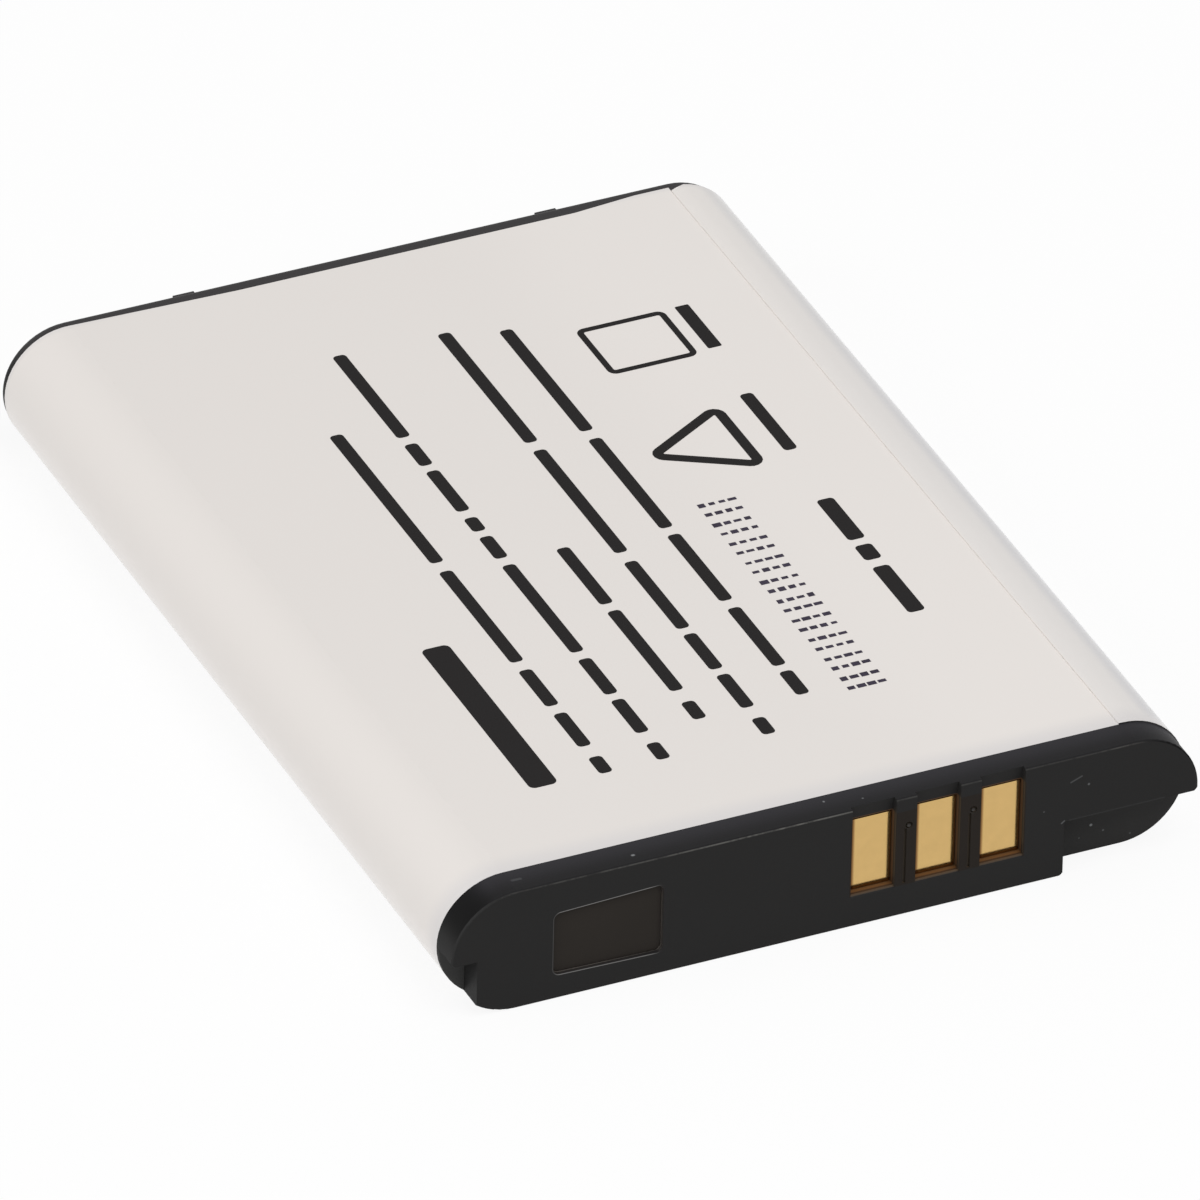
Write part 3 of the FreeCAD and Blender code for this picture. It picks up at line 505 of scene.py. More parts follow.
@dataclass(frozen=True)
class MouldedFinish(Finish):
    """Black moulded plastic: dull end face, painted sheen on the band, painted light and shade on
    edges, notches, windows and recess, and small marks.
    """

    face_level: float = 0.0
    film_level: float = 0.0
    # painted sheen on the upward band: darker by the end face, lighter and bluer by the film
    band_sheen_at_face: Triple = (0.0147, 0.0143, 0.0151)
    band_sheen_at_film: Triple = (0.0295, 0.0282, 0.032)
    band_start: float = 0.1
    band_upward: Span = (0.4, 0.8)
    notch: Opening | None = None
    # painted light on the shaded backs of the notches, and painted shade on the left notch's inner
    # wall
    notch_left_painted_light: Triple = (0.062, 0.062, 0.061)
    notch_right_painted_light: Triple = (0.034, 0.0335, 0.033)
    notch_wall_painted_shade: Triple = (0.0175, 0.0175, 0.0175)
    notch_depth: Span = (0.6 * MM, 1.2 * MM)
    notch_sides: Span = (-10.0 * MM, 10.0 * MM)
    notch_soft: float = 0.05 * MM
    facing_end: Span = (-0.9, -0.5)
    facing_left: Span = (-0.98, -0.9)
    # painted highlight and shade lines on rounded edges
    lines: tuple[PaintedEdgeLight, ...] = ()
    scratches_and_glints: tuple[ScratchOrGlint, ...] = ()
    # colour of the marks: scratched lines, specks and a few painted highlights
    scratch_and_glint_colour: Triple = (0.45, 0.47, 0.48)
    recess: Opening | None = None
    recess_soft: float = 0.2 * MM
    behind_face: Span = (0.005 * MM, 0.03 * MM)
    # painted highlight line round the recess rim
    lip_highlight_colour: Triple = (0.235, 0.231, 0.226)
    # painted light in the shaded walls of the recess and in the gap round its film
    recess_wall_painted_light: Triple = (0.03, 0.027, 0.0255)
    recess_right_wall_painted_light: Triple = (0.05, 0.045, 0.042)
    right_wall_near: Span = (0.3 * MM, 0.1 * MM)
    recess_gap_painted_light: Triple = (0.2, 0.178, 0.16)
    gap_depth: Span = (0.16 * MM, 0.2 * MM)
    windows: Opening | None = None
    windows_soft: float = 0.02 * MM
    # painted warm reflection of the gold on the ribs, and painted light in their shaded grooves
    rib_gold_reflection: Triple = (0.021, 0.0172, 0.0145)
    groove_painted_light: Triple = (0.052, 0.042, 0.032)
    groove_depth: Span = (0.01 * MM, 0.03 * MM)
    rib_depth: Span = (0.121 * MM, 0.13 * MM)
    # painted reflection of the gold on the window walls and sills
    gold_reflection_colour: Triple = (0.3, 0.14, 0.045)
    gold_reflection_depth: Span = (0.13 * MM, 0.3 * MM)
    gold_reflection_upward: Span = (0.2, 0.8)
    gold_reflection_share: Span = (0.24, 0.48)
    sill_upward: Span = (0.2, 0.7)
    sill_depth: Span = (0.01 * MM, 0.12 * MM)
    sill_reflection_share: float = 0.3

    def paint(self, coat: Coat) -> None:
        """Lay on the painted light and shade of the band, the notches, the windows, the edge lines
        and the recess, and the marks.

        Args:
            coat: Material under way.
        """
        self.paint_band_sheen(coat)
        if self.windows:
            self.paint_notch_light(coat)
            self.paint_windows(coat)
        self.paint_edge_light(coat)
        if self.recess:
            self.paint_recess(coat)
        self.paint_marks(coat)

    def depth(self, coat: Coat) -> Socket:
        """Measure the distance behind the end face, in metres."""
        return coat.graph.math("ABSOLUTE", coat.graph.minus(coat.here["Y"], self.face_level))

    def paint_band_sheen(self, coat: Coat) -> None:
        """Paint a sheen on the band on top between the end face and the film: darker by the end
        face, lighter and bluer towards the film.

        Args:
            coat: Material under way.
        """
        graph = coat.graph
        exposed = abs(self.film_level - self.face_level)
        run = graph.ramp(self.depth(coat), self.band_start * exposed, exposed)
        coat.lay(graph.ramp(coat.facing["Z"], *self.band_upward),
                 graph.blend(run, self.band_sheen_at_face, self.band_sheen_at_film))

    def paint_notch_light(self, coat: Coat) -> None:
        """Paint light on the shaded backs of the corner notches, and paint shade on the left one's
        inner wall.

        Args:
            coat: Material under way.
        """
        graph = coat.graph
        forwards = graph.fall(coat.facing["Y"], *self.facing_end)
        side = graph.ramp(coat.here["X"], *self.notch_sides)
        coat.lay(graph.times(forwards, graph.ramp(self.depth(coat), *self.notch_depth)),
                 graph.blend(side, self.notch_left_painted_light, self.notch_right_painted_light))
        sideways = graph.fall(coat.facing["X"], *self.facing_left)
        coat.lay(graph.times(sideways, coat.within(self.notch, self.notch_soft)), self.notch_wall_painted_shade)

    def paint_windows(self, coat: Coat) -> None:
        """Paint a warm reflection of the gold on the ribs between the contact windows and on the
        windows' walls and sills, and paint light into the shaded grooves on the ribs.

        Args:
            coat: Material under way.
        """
        graph = coat.graph
        inside = coat.within(self.windows, self.windows_soft)
        shallow = graph.fall(self.depth(coat), *self.rib_depth)
        coat.lay(graph.times(inside, shallow), graph.blend(
            graph.ramp(self.depth(coat), *self.groove_depth), self.rib_gold_reflection, self.groove_painted_light))
        upward = coat.facing["Z"]
        sill = graph.times(graph.ramp(upward, *self.sill_upward),
                           graph.ramp(self.depth(coat), *self.sill_depth))
        deep = graph.larger(graph.times(sill, self.sill_reflection_share),
                            graph.ramp(self.depth(coat), *self.gold_reflection_depth))
        share = graph.ramp(upward, *self.gold_reflection_upward, *self.gold_reflection_share)
        coat.lay(graph.times(graph.times(deep, inside), share), self.gold_reflection_colour)

    def paint_recess(self, coat: Coat) -> None:
        """Paint light into the recess's shaded walls and the gap round its film, and paint a
        highlight line round it.

        Args:
            coat: Material under way.
        """
        graph = coat.graph
        lip_highlight = coat.mask(
            coat.effects.lip_highlight, Low=self.recess.low, High=self.recess.high,
            Flare_Low=self.recess.flare_low, Flare_High=self.recess.flare_high,
            Corner=self.recess.corner)
        behind = graph.ramp(self.depth(coat), *self.behind_face)
        near = (self.recess.high.x - distance for distance in self.right_wall_near)
        wall = graph.blend(graph.ramp(coat.here["X"], *near), self.recess_wall_painted_light,
                           self.recess_right_wall_painted_light)
        coat.lay(graph.times(behind, coat.within(self.recess, self.recess_soft)),
                 graph.blend(graph.ramp(self.depth(coat), *self.gap_depth), wall, self.recess_gap_painted_light))
        coat.lay(graph.times(lip_highlight, graph.minus(1.0, behind)), self.lip_highlight_colour)

    def paint_edge_light(self, coat: Coat) -> None:
        """Paint the highlight and shade lines on the rounded edges.

        Args:
            coat: Material under way.
        """
        graph = coat.graph
        low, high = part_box("front_cap")
        here = coat.here
        across = graph.math("DIVIDE", graph.minus(here["X"], low.x), high.x - low.x)
        for line in self.lines:
            mask = coat.mask(
                coat.effects.edge, Normal=coat.normal, Towards=line.towards,
                Tightness=line.tightness, Bare_Share=line.break_share)
            mask = graph.times(mask, graph.profile(across, line.strength))
            rise = graph.ramp(here["Z"], low.z, high.z, line.low_share, 1.0)
            coat.lay(graph.times(mask, rise), line.colour)

    def paint_marks(self, coat: Coat) -> None:
        """Draw the marks: scratched lines, specks and a few painted highlights.

        Args:
            coat: Material under way.
        """
        mask: Value = 0.0
        for mark_entry in self.scratches_and_glints:
            mask = coat.mask(
                coat.effects.mark, Start=from_corner(mark_entry.start),
                End=from_corner(mark_entry.end or mark_entry.start), Radius=mark_entry.radius * MM,
                Strength=mark_entry.strength, Mask=mask)
        coat.lay(mask, self.scratch_and_glint_colour)


@dataclass(frozen=True)
class PadFinish(Finish):
    """Gold plating with painted dark reflections of the window walls at each pad's sides and
    painted shade at its foot.
    """

    middle: float = 0.0
    pitch: float = 3.0 * MM
    half_width: float = 1.0 * MM
    foot: float = 0.0
    # painted dark reflections of the window walls at the pads' right and left edges, and painted
    # shade at their foot
    right_wall_dark_reflection: Triple = (0.42, 0.19, 0.05)
    right_width: float = 0.09 * MM
    right_share: float = 0.7
    left_wall_dark_reflection: Triple = (0.2, 0.1, 0.035)
    left_span: Span = (0.17 * MM, 0.31 * MM)
    foot_painted_shade: Triple = (0.2, 0.115, 0.045)
    foot_height: float = 0.24 * MM
    foot_share: float = 0.7

    def paint(self, coat: Coat) -> None:
        """Paint dark reflections of the walls at the pads' right and left edges, and shade at their
        foot.

        Args:
            coat: Material under way.
        """
        graph, here = coat.graph, coat.here
        half_pitch = self.pitch / 2
        from_gap = graph.minus(here["X"], self.middle - half_pitch)
        across = graph.minus(graph.math("FLOORED_MODULO", from_gap, self.pitch), half_pitch)
        coat.lay(graph.ramp(across, self.half_width - self.right_width, self.half_width, 0.0,
                            self.right_share), self.right_wall_dark_reflection)
        coat.lay(graph.fall(here["Z"], self.foot, self.foot + self.foot_height, self.foot_share),
                 self.foot_painted_shade)
        left = (edge - self.half_width for edge in self.left_span)
        coat.lay(graph.fall(across, *left), self.left_wall_dark_reflection)


@dataclass(frozen=True)
class FilmFinish(Finish):
    """Pale printed film: a soft gloss, slight waviness, painted light and shade on the outer lap,
    at both ends and towards the right, and dark cut ends.
    """

    front: float = 0.0
    rear: float = 0.0
    wave_height: float = 0.01 * MM
    waves_per_mm: float = 0.28
    # painted light: the film's tone is made a little lighter towards the right
    film_painted_light: float = 1.03
    film_painted_light_span: Span = (0.0, 1.0)
    lap_start: float = 0.0
    lap_soft: float = 0.08 * MM
    lap_end: float = 4.03 * MM
    # painted light and shade on the outer lap: darker at the front and where it faces right
    lap_top_shading_front: Triple = (0.78, 0.749, 0.726)
    lap_top_shading_rear: Triple = (0.806, 0.769, 0.738)
    lap_side_painted_shade_front: Triple = (0.625, 0.612, 0.62)
    lap_side_painted_shade_rear: Triple = (0.669, 0.65, 0.64)
    facing_right: Span = (0.36, 0.62)
    end_shade: Triple = (0.705, 0.68, 0.672)
    front_width: float = 1.4 * MM
    rear_width: float = 0.35 * MM
    rear_share: float = 0.6
    cut_colour: Triple = (0.015, 0.015, 0.016)
    cut_facing: float = -0.5
    cut_fade: float = 1.5 * MM
    cut_right_share: float = 0.93

    def paint(self, coat: Coat) -> None:
        """Lay on the painted lighter tone towards the right, the painted shading of the lap, the
        painted shade at both ends, the cut ends and the waviness.

        Args:
            coat: Material under way.
        """
        graph, here = coat.graph, coat.here
        coat.colour = graph.scaled(coat.colour, graph.ramp(here["X"], *self.film_painted_light_span, 1.0,
                                                           self.film_painted_light))
        to_rear = graph.ramp(here["Y"], 0.0, self.rear)
        top = graph.blend(to_rear, self.lap_top_shading_front, self.lap_top_shading_rear)
        side = graph.blend(to_rear, self.lap_side_painted_shade_front, self.lap_side_painted_shade_rear)
        lap = graph.ramp(here["X"], self.lap_start, self.lap_start + self.lap_soft)
        coat.lay(graph.times(lap, graph.math("GREATER_THAN", here["Z"], self.lap_end)),
                 graph.blend(graph.ramp(coat.facing["X"], *self.facing_right), top, side))
        near_front = graph.fall(here["Y"], self.front, self.front + self.front_width)
        near_rear = graph.ramp(here["Y"], self.rear - self.rear_width, self.rear, 0.0,
                               self.rear_share)
        coat.lay(graph.larger(near_front, near_rear), self.end_shade)
        cut_end = graph.math("LESS_THAN", coat.facing["Y"], self.cut_facing)
        paler = graph.ramp(here["X"], self.lap_start, self.lap_start + self.cut_fade, 1.0,
                           self.cut_right_share)
        coat.lay(graph.times(cut_end, paler), self.cut_colour)
        waves = graph.noise(coat.place, self.waves_per_mm * PER_MM, detail=1.0)
        wavy = graph.make("ShaderNodeBump", {"Distance": self.wave_height, "Height": waves})
        graph.feed(coat.bump.inputs["Normal"], wavy)


def from_corner(place: Sequence[float]) -> Vector:
    """Turn a place in mm from the pack's front left lower corner into the frame.

    Args:
        place: Distances across, along and up in mm.

    Returns:
        The place in metres in the row's frame.
    """
    low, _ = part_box("label_wrap")
    front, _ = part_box("front_cap")
    return Vector((low.x + place[0] * MM, front.y + place[1] * MM, place[2] * MM))


def from_left(distance: float) -> float:
    """Give the X that lies some mm from the pack's left side."""
    return from_corner((distance, 0.0, 0.0)).x


def new_object(name: str, data: bpy.types.ID) -> bpy.types.Object:
    """Put an object in the scene.

    Args:
        name: Object's name.
        data: Its mesh, camera or light.

    Returns:
        The object.
    """
    thing = bpy.data.objects.new(name, data)
    bpy.context.scene.collection.objects.link(thing)
    return thing


def dress(node: str, material: bpy.types.Material) -> None:
    """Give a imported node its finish, in every slot it has.

    Args:
        node: Node's name.
        material: Its finish.
    """
    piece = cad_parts[node]
    if not piece.material_slots:
        piece.data.materials.append(material)
    for slot in piece.material_slots:
        slot.material = material
    LOG.info("dressed %s in %s", node, material.name)


def new_ink_group(name: str, inputs: Names) -> tuple[Graph, Sockets]:
    """Start a geometry group that turns shapes into ink.

    Args:
        name: Group's name.
        inputs: Names of its further inputs, by socket type.

    Returns:
        The graph, and the sockets of the inputs.
    """
    geometry = {GEOMETRY: ("Geometry",)}
    return new_group(name, "GeometryNodeTree", {**geometry, MATERIAL: ("Ink",), **inputs},
                     geometry)


class InkTrees:
    """Geometry node trees that lay thin ink on the film."""

    MERGE_DISTANCE = 0.0001 * MM
    LEAST_DASH = (0.75, 0.7, 1.0)
    MOST_DASH = (1.15, 1.3, 1.0)
    CORNER_POINTS = 5

    def __init__(self) -> None:
        """Build the trees, the shared one first."""
        self.plate = self._plate()
        self.bars = self._bars()
        self.dashes = self._dashes()
        self.outline = self._outline()

    def _plate(self) -> Tree:
        """Thicken flat shapes upwards into closed plates of ink.

        Returns:
            Group with the finished ink.
        """
        graph, given = new_ink_group("ink_plate", {FLOAT: ("Thickness",)})
        flat = given["Geometry"]
        rise = graph.make("ShaderNodeCombineXYZ", {"Z": given["Thickness"]})
        raised = graph.make("GeometryNodeExtrudeMesh", {
            "Mesh": flat, "Offset": rise, "Offset Scale": 1.0, "Individual": False})
        joined = graph.add("GeometryNodeJoinGeometry")
        graph.feed(joined.inputs[0], raised)
        graph.feed(joined.inputs[0], flat)
        merged = graph.make("GeometryNodeMergeByDistance", {
            "Geometry": joined.outputs[0], "Distance": self.MERGE_DISTANCE})
        solid = graph.make("GeometryNodeRealizeInstances", {"Geometry": merged})
        return graph.give(Geometry=graph.make("GeometryNodeSetMaterial", {
            "Geometry": solid, "Material": given["Ink"]}))

    def _inked(self, graph: Graph, flat: Socket, given: Sockets) -> Tree:
        """Turn a tree's flat shapes into ink.

        Args:
            graph: Tree to write into.
            flat: Flat shapes.
            given: The tree's inputs.

        Returns:
            The finished tree.
        """
        ink = graph.group(self.plate, Geometry=flat, Thickness=given["Thickness"],
                          Ink=given["Ink"])
        return graph.give(Geometry=ink["Geometry"])

    @staticmethod
    def _ribbon(graph: Graph, curve: Socket, half_width: Value) -> Socket:
        """Sweep a flat line along a curve.

        Args:
            graph: Tree to write into.
            curve: Curve to follow.
            half_width: Half of the ribbon's width.

        Returns:
            The flat mesh.
        """
        level = graph.make("GeometryNodeSetCurveNormal", {"Curve": curve}, mode="Z_UP")
        line = graph.make("GeometryNodeCurvePrimitiveLine", {
            "Start": (-1.0, 0.0, 0.0), "End": (1.0, 0.0, 0.0)})
        return graph.make("GeometryNodeCurveToMesh", {
            "Curve": level, "Profile Curve": line, "Scale": half_width})

    def _bars(self) -> Tree:
        """Bars with rounded corners along the edges of a mesh.

        Returns:
            Tree for a modifier.
        """
        graph, given = new_ink_group("word_bars", {
            FLOAT: ("Half Height", "Corner Radius", "Thickness")})
        curve = graph.make("GeometryNodeMeshToCurve", {"Mesh": given["Geometry"]})
        along = graph.add("GeometryNodeSplineParameter").outputs["Length"]
        whole = graph.make("GeometryNodeSplineLength")
        from_end = graph.math("MINIMUM", along, graph.minus(whole, along))
        corner = given["Corner Radius"]
        short = graph.larger(graph.minus(corner, from_end), 0.0)
        inside = graph.minus(graph.times(corner, corner), graph.times(short, short))
        bulge = graph.math("SQRT", graph.larger(inside, 0.0))
        half = graph.plus(graph.minus(given["Half Height"], corner), bulge)
        return self._inked(graph, self._ribbon(graph, curve, half), given)

    def _dashes(self) -> Tree:
        """A row of cells, each with upright strokes of short dashes of uneven length.

        Returns:
            Tree for a modifier.
        """
        graph, given = new_ink_group("code_dashes", {
            INTEGER: ("Cells", "Rows", "Seed"), VECTOR: ("Dash", "Start"),
            FLOAT: ("Cell Pitch", "Stroke Pitch", "Height", "Thickness")})
        step = graph.make("ShaderNodeCombineXYZ", {"Y": given["Cell Pitch"]})
        cells = graph.make("GeometryNodeMeshLine", {
            "Count": given["Cells"], "Start Location": given["Start"], "Offset": step})
        places = graph.make("GeometryNodeMeshGrid", {
            "Size X": given["Height"], "Size Y": given["Stroke Pitch"],
            "Vertices X": given["Rows"], "Vertices Y": 2})
        grids = graph.make("GeometryNodeInstanceOnPoints", {"Points": cells, "Instance": places})
        points = graph.make("GeometryNodeRealizeInstances", {"Geometry": grids})
        dash = graph.make("GeometryNodeMeshGrid", {
            "Size X": 1.0, "Size Y": 1.0, "Vertices X": 2, "Vertices Y": 2})
        uneven = graph.make("FunctionNodeRandomValue", {
            0: self.LEAST_DASH, 1: self.MOST_DASH, "Seed": given["Seed"]},
            data_type="FLOAT_VECTOR")
        size = graph.vector("MULTIPLY", uneven, given["Dash"])
        dashes = graph.make("GeometryNodeInstanceOnPoints", {
            "Points": points, "Instance": dash, "Scale": size})
        return self._inked(
            graph, graph.make("GeometryNodeRealizeInstances", {"Geometry": dashes}), given)

    def _outline(self) -> Tree:
        """Plain outline of a regular shape with rounded corners.

        Returns:
            Tree for a modifier.
        """
        graph, given = new_ink_group("plain_outline", {
            INTEGER: ("Sides",), ROTATION: ("Turn",), VECTOR: ("Stretch", "Centre"),
            FLOAT: ("Radius", "Corner Radius", "Line Width", "Thickness")})
        shape = graph.make("GeometryNodeCurvePrimitiveCircle", {
            "Resolution": given["Sides"], "Radius": given["Radius"]}, mode="RADIUS")
        turned = graph.make("GeometryNodeTransform", {
            "Geometry": shape, "Rotation": given["Turn"]})
        placed = graph.make("GeometryNodeTransform", {
            "Geometry": turned, "Translation": given["Centre"], "Scale": given["Stretch"]})
        rounded = graph.make("GeometryNodeFilletCurve", {
            "Curve": placed, "Count": self.CORNER_POINTS, "Radius": given["Corner Radius"]},
            mode="POLY")
        half = graph.times(given["Line Width"], 0.5)
        return self._inked(graph, self._ribbon(graph, rounded, half), given)


def grow(name: str, tree: Tree, inputs: dict[str, object],
         source: bpy.types.Mesh | None = None) -> bpy.types.Object:
    """Grow a piece with a geometry node tree and leave it as a plain closed mesh.

    Args:
        name: Piece's name.
        tree: Tree to run.
        inputs: Values for its named inputs.
        source: Mesh that the tree starts from, where it needs one.

    Returns:
        The finished piece at the origin.
    """
    piece = new_object(name, source or bpy.data.meshes.new(f"{name}_start"))
    modifier = piece.modifiers.new("grow", "NODES")
    modifier.node_group = tree
    identifiers = {item.name: item.identifier for item in tree.interface.items_tree
                   if item.item_type == "SOCKET" and item.in_out == "INPUT"}
    for label, value in inputs.items():
        modifier[identifiers[label]] = value
    evaluated = piece.evaluated_get(bpy.context.evaluated_depsgraph_get())
    mesh = bpy.data.meshes.new_from_object(evaluated)
    piece.modifiers.remove(modifier)
    piece.data = mesh
    mesh.name = name
    closed = bmesh.new()
    closed.from_mesh(mesh)
    bmesh.ops.remove_doubles(closed, verts=closed.verts, dist=InkTrees.MERGE_DISTANCE)
    bmesh.ops.recalc_face_normals(closed, faces=closed.faces)
    closed.to_mesh(mesh)
    closed.free()
    return piece


@dataclass(frozen=True)
class BarRow:
    """A row of word-length bars, in mm from the pack's front left corner."""

    middle: float
    words: tuple[Span, ...]
    height: float = 0.62


@dataclass(frozen=True)
class Outline:
    """A plain outline, in mm from the pack's front left corner."""

    name: str
    sides: int
    radius: float
    turn: float
    corner: float
    line: float
    middle: Span
    stretch: Triple = ONES


@dataclass
class FilmPrint:
    """Ink on the film: bars for words, dashes for a code and two plain outlines."""

    trees: InkTrees
    ink: bpy.types.Material
    code_ink: bpy.types.Material
    thickness: float = 0.008 * MM
    sunk: float = 0.004 * MM
    sharp_degrees: float = 25.0
    corner: float = 0.2 * MM
    corner_steps: int = 5
    heading: BarRow = BarRow(7.35, ((6.8, 18.3),), height=1.3)
    heading_corner: float = 0.3 * MM
    text: tuple[BarRow, ...] = (
        BarRow(10.2, ((6.7, 8.0), (8.9, 11.6), (12.25, 15.2), (15.9, 23.5), (24.25, 35.1))),
        BarRow(12.9, ((6.7, 8.0), (8.9, 11.6), (12.1, 15.0), (15.6, 22.9), (23.5, 25.3),
                      (25.8, 26.9), (27.5, 30.9), (31.4, 33.2), (33.8, 40.85))),
        BarRow(15.6, ((8.9, 10.3), (11.25, 17.9), (18.5, 23.2))),
        BarRow(17.85, ((6.7, 8.0), (8.9, 11.6), (12.1, 15.0), (15.5, 21.1), (21.9, 30.6),
                       (31.3, 40.7))),
        BarRow(20.45, ((8.9, 10.8), (11.3, 16.1), (16.75, 22.3), (22.9, 30.5), (31.2, 39.9))))
    small: tuple[BarRow, ...] = (
        BarRow(27.65, ((12.8, 16.6), (17.2, 18.4), (18.9, 22.3)), height=0.8),
        BarRow(28.0, ((26.4, 31.2),)))
    block: BarRow = BarRow(28.37, ((35.1, 38.7),), height=0.66)
    block_corner: float = 0.08 * MM
    code_start: Span = (23.25, 8.9)
    outlines: tuple[Outline, ...] = (
        Outline("triangle_outline", sides=3, radius=2.75, turn=math.pi, corner=0.3, line=0.5,
                middle=(24.95, 28.25)),
        Outline("square_outline", sides=4, radius=2.2, turn=math.pi / 4, corner=0.25, line=0.3,
                middle=(25.35, 36.75), stretch=(1.27, 1.15, 1.0)))

    def on_film(self, place: Span) -> Vector:
        """Give a place on the film, a little inside it.

        Args:
            place: Distances from the pack's left side and its contact end, in mm.

        Returns:
            The place in metres, at the film's flat top under its overlap.
        """
        film_low, film_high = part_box("label_wrap")
        can_low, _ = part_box("cell_can")
        spot = from_corner((*place, 0.0))
        spot.z = film_high.z - (can_low.z - film_low.z) - self.sunk
        return spot

    def word_paths(self, rows: Sequence[BarRow], corner: float) -> bpy.types.Mesh:
        """Draw each word as a run of edges, with more points where its ends are rounded.

        Args:
            rows: Rows of words.
            corner: Corner radius of the bars, in metres.

        Returns:
            Mesh of open runs.
        """
        quarter = math.pi / 2
        ease = [corner / MM * (1.0 - math.cos(quarter * index / self.corner_steps))
                for index in range(self.corner_steps + 1)]
        points: list[Vector] = []
        edges: list[tuple[int, int]] = []
        for row in rows:
            for start, end in row.words:
                run = [start + shift for shift in ease]
                run += [end - shift for shift in reversed(ease)]
                first = len(points)
                points += [self.on_film((row.middle, along)) for along in run]
                edges += [(first + index, first + index + 1) for index in range(len(run) - 1)]
        mesh = bpy.data.meshes.new("word_paths")
        mesh.from_pydata(points, edges, [])
        return mesh

    def lay(self, name: str, tree: Tree, inputs: dict[str, object],
            source: bpy.types.Mesh | None = None) -> None:
        """Grow a piece of print, which rides on the pack.

        Args:
            name: Piece's name.
            tree: Tree to run.
            inputs: Values for its named inputs.
            source: Mesh that the tree starts from, where it needs one.
        """
        common = {"Thickness": self.thickness + self.sunk, "Ink": self.ink}
        piece = grow(name, tree, {**common, **inputs}, source)
        piece.data.shade_smooth()
        piece.data.set_sharp_from_angle(angle=math.radians(self.sharp_degrees))
        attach(piece, BODY)
        LOG.info("printed %s, %d faces", piece.name, len(piece.data.polygons))

    def print_bars(self, name: str, rows: Sequence[BarRow], corner: float) -> None:
        """Print rows of one bar height as one piece, with a corner radius in metres."""
        inputs = {"Half Height": rows[0].height / 2 * MM, "Corner Radius": corner}
        self.lay(name, self.trees.bars, inputs, self.word_paths(rows, corner))

    def print_code(self) -> None:
        """Print the code as cells of dashes."""
        self.lay("code_dashes", self.trees.dashes, {
            "Cells": 10, "Cell Pitch": 1.62 * MM, "Stroke Pitch": 0.75 * MM,
            "Height": 1.45 * MM, "Rows": 4, "Dash": (0.36 * MM, 0.24 * MM, 1.0),
            "Start": tuple(self.on_film(self.code_start)), "Seed": 7, "Ink": self.code_ink})

    def print_outlines(self) -> None:
        """Print the plain triangle and the plain square."""
        for shape in self.outlines:
            self.lay(shape.name, self.trees.outline, {
                "Sides": shape.sides, "Radius": shape.radius * MM,
                "Turn": (0.0, 0.0, shape.turn), "Corner Radius": shape.corner * MM,
                "Line Width": shape.line * MM, "Stretch": shape.stretch,
                "Centre": tuple(self.on_film(shape.middle))})

    def build(self) -> None:
        """Print everything."""
        self.print_bars("heading_bar", [self.heading], self.heading_corner)
        self.print_bars("text_bars", self.text, self.corner)
        for number, row in enumerate(self.small, start=1):
            self.print_bars(f"small_bars_{number}", [row], self.corner)
        self.print_bars("square_block", [self.block], self.block_corner)
        self.print_code()
        self.print_outlines()


@dataclass
class Assembly:
    """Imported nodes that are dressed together, by the finish that they get."""

    finishes: dict[str, Finish]
    effects: SurfaceEffects
    nodes: ClassVar[dict[str, tuple[str, ...]]] = {}

    def build(self) -> None:
        """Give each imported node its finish."""
        for name, nodes in self.nodes.items():
            material = self.finishes[name].make(self.effects)
            for node in nodes:
                dress(node, material)


class ContactEnd(Assembly):
    """Moulded end: front cap, recess film, gold contacts and the board behind them."""

    nodes = {"moulded_black": ("front_cap",), "recess_film": ("recess_film",),
             "gold_plate": ("contact_left", "contact_middle", "contact_right"),
             "board_laminate": ("circuit_board",),
             "chip_moulding": ("switch_chip", "protection_chip", "thermal_cutoff"),
             "component_ceramic": ("supply_resistor", "filter_capacitor", "sense_resistor",
                                   "thermistor")}


class SealedCell(Assembly):
    """The cell and what stands on its lid."""

    nodes = {"can_aluminium": ("cell_can", "fill_plug"),
             "nickel": ("terminal_rivet", "clad_plate", "positive_tab", "negative_link",
                        "negative_tab"),
             "gasket_polymer": ("terminal_gasket",), "insulating_sheet": ("lid_insulator",)}


class Wrapping(Assembly):
    """The film with its print, the rear cover and the tape that holds it."""

    nodes = {"wrap_film": ("label_wrap",), "cover_black": ("rear_cover",),
             "tape": ("rear_tape",)}

    def build(self) -> None:
        """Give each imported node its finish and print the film."""
        super().build()
        inks = (self.finishes[name].make(self.effects) for name in ("print_ink", "code_ink"))
        FilmPrint(InkTrees(), *inks).build()


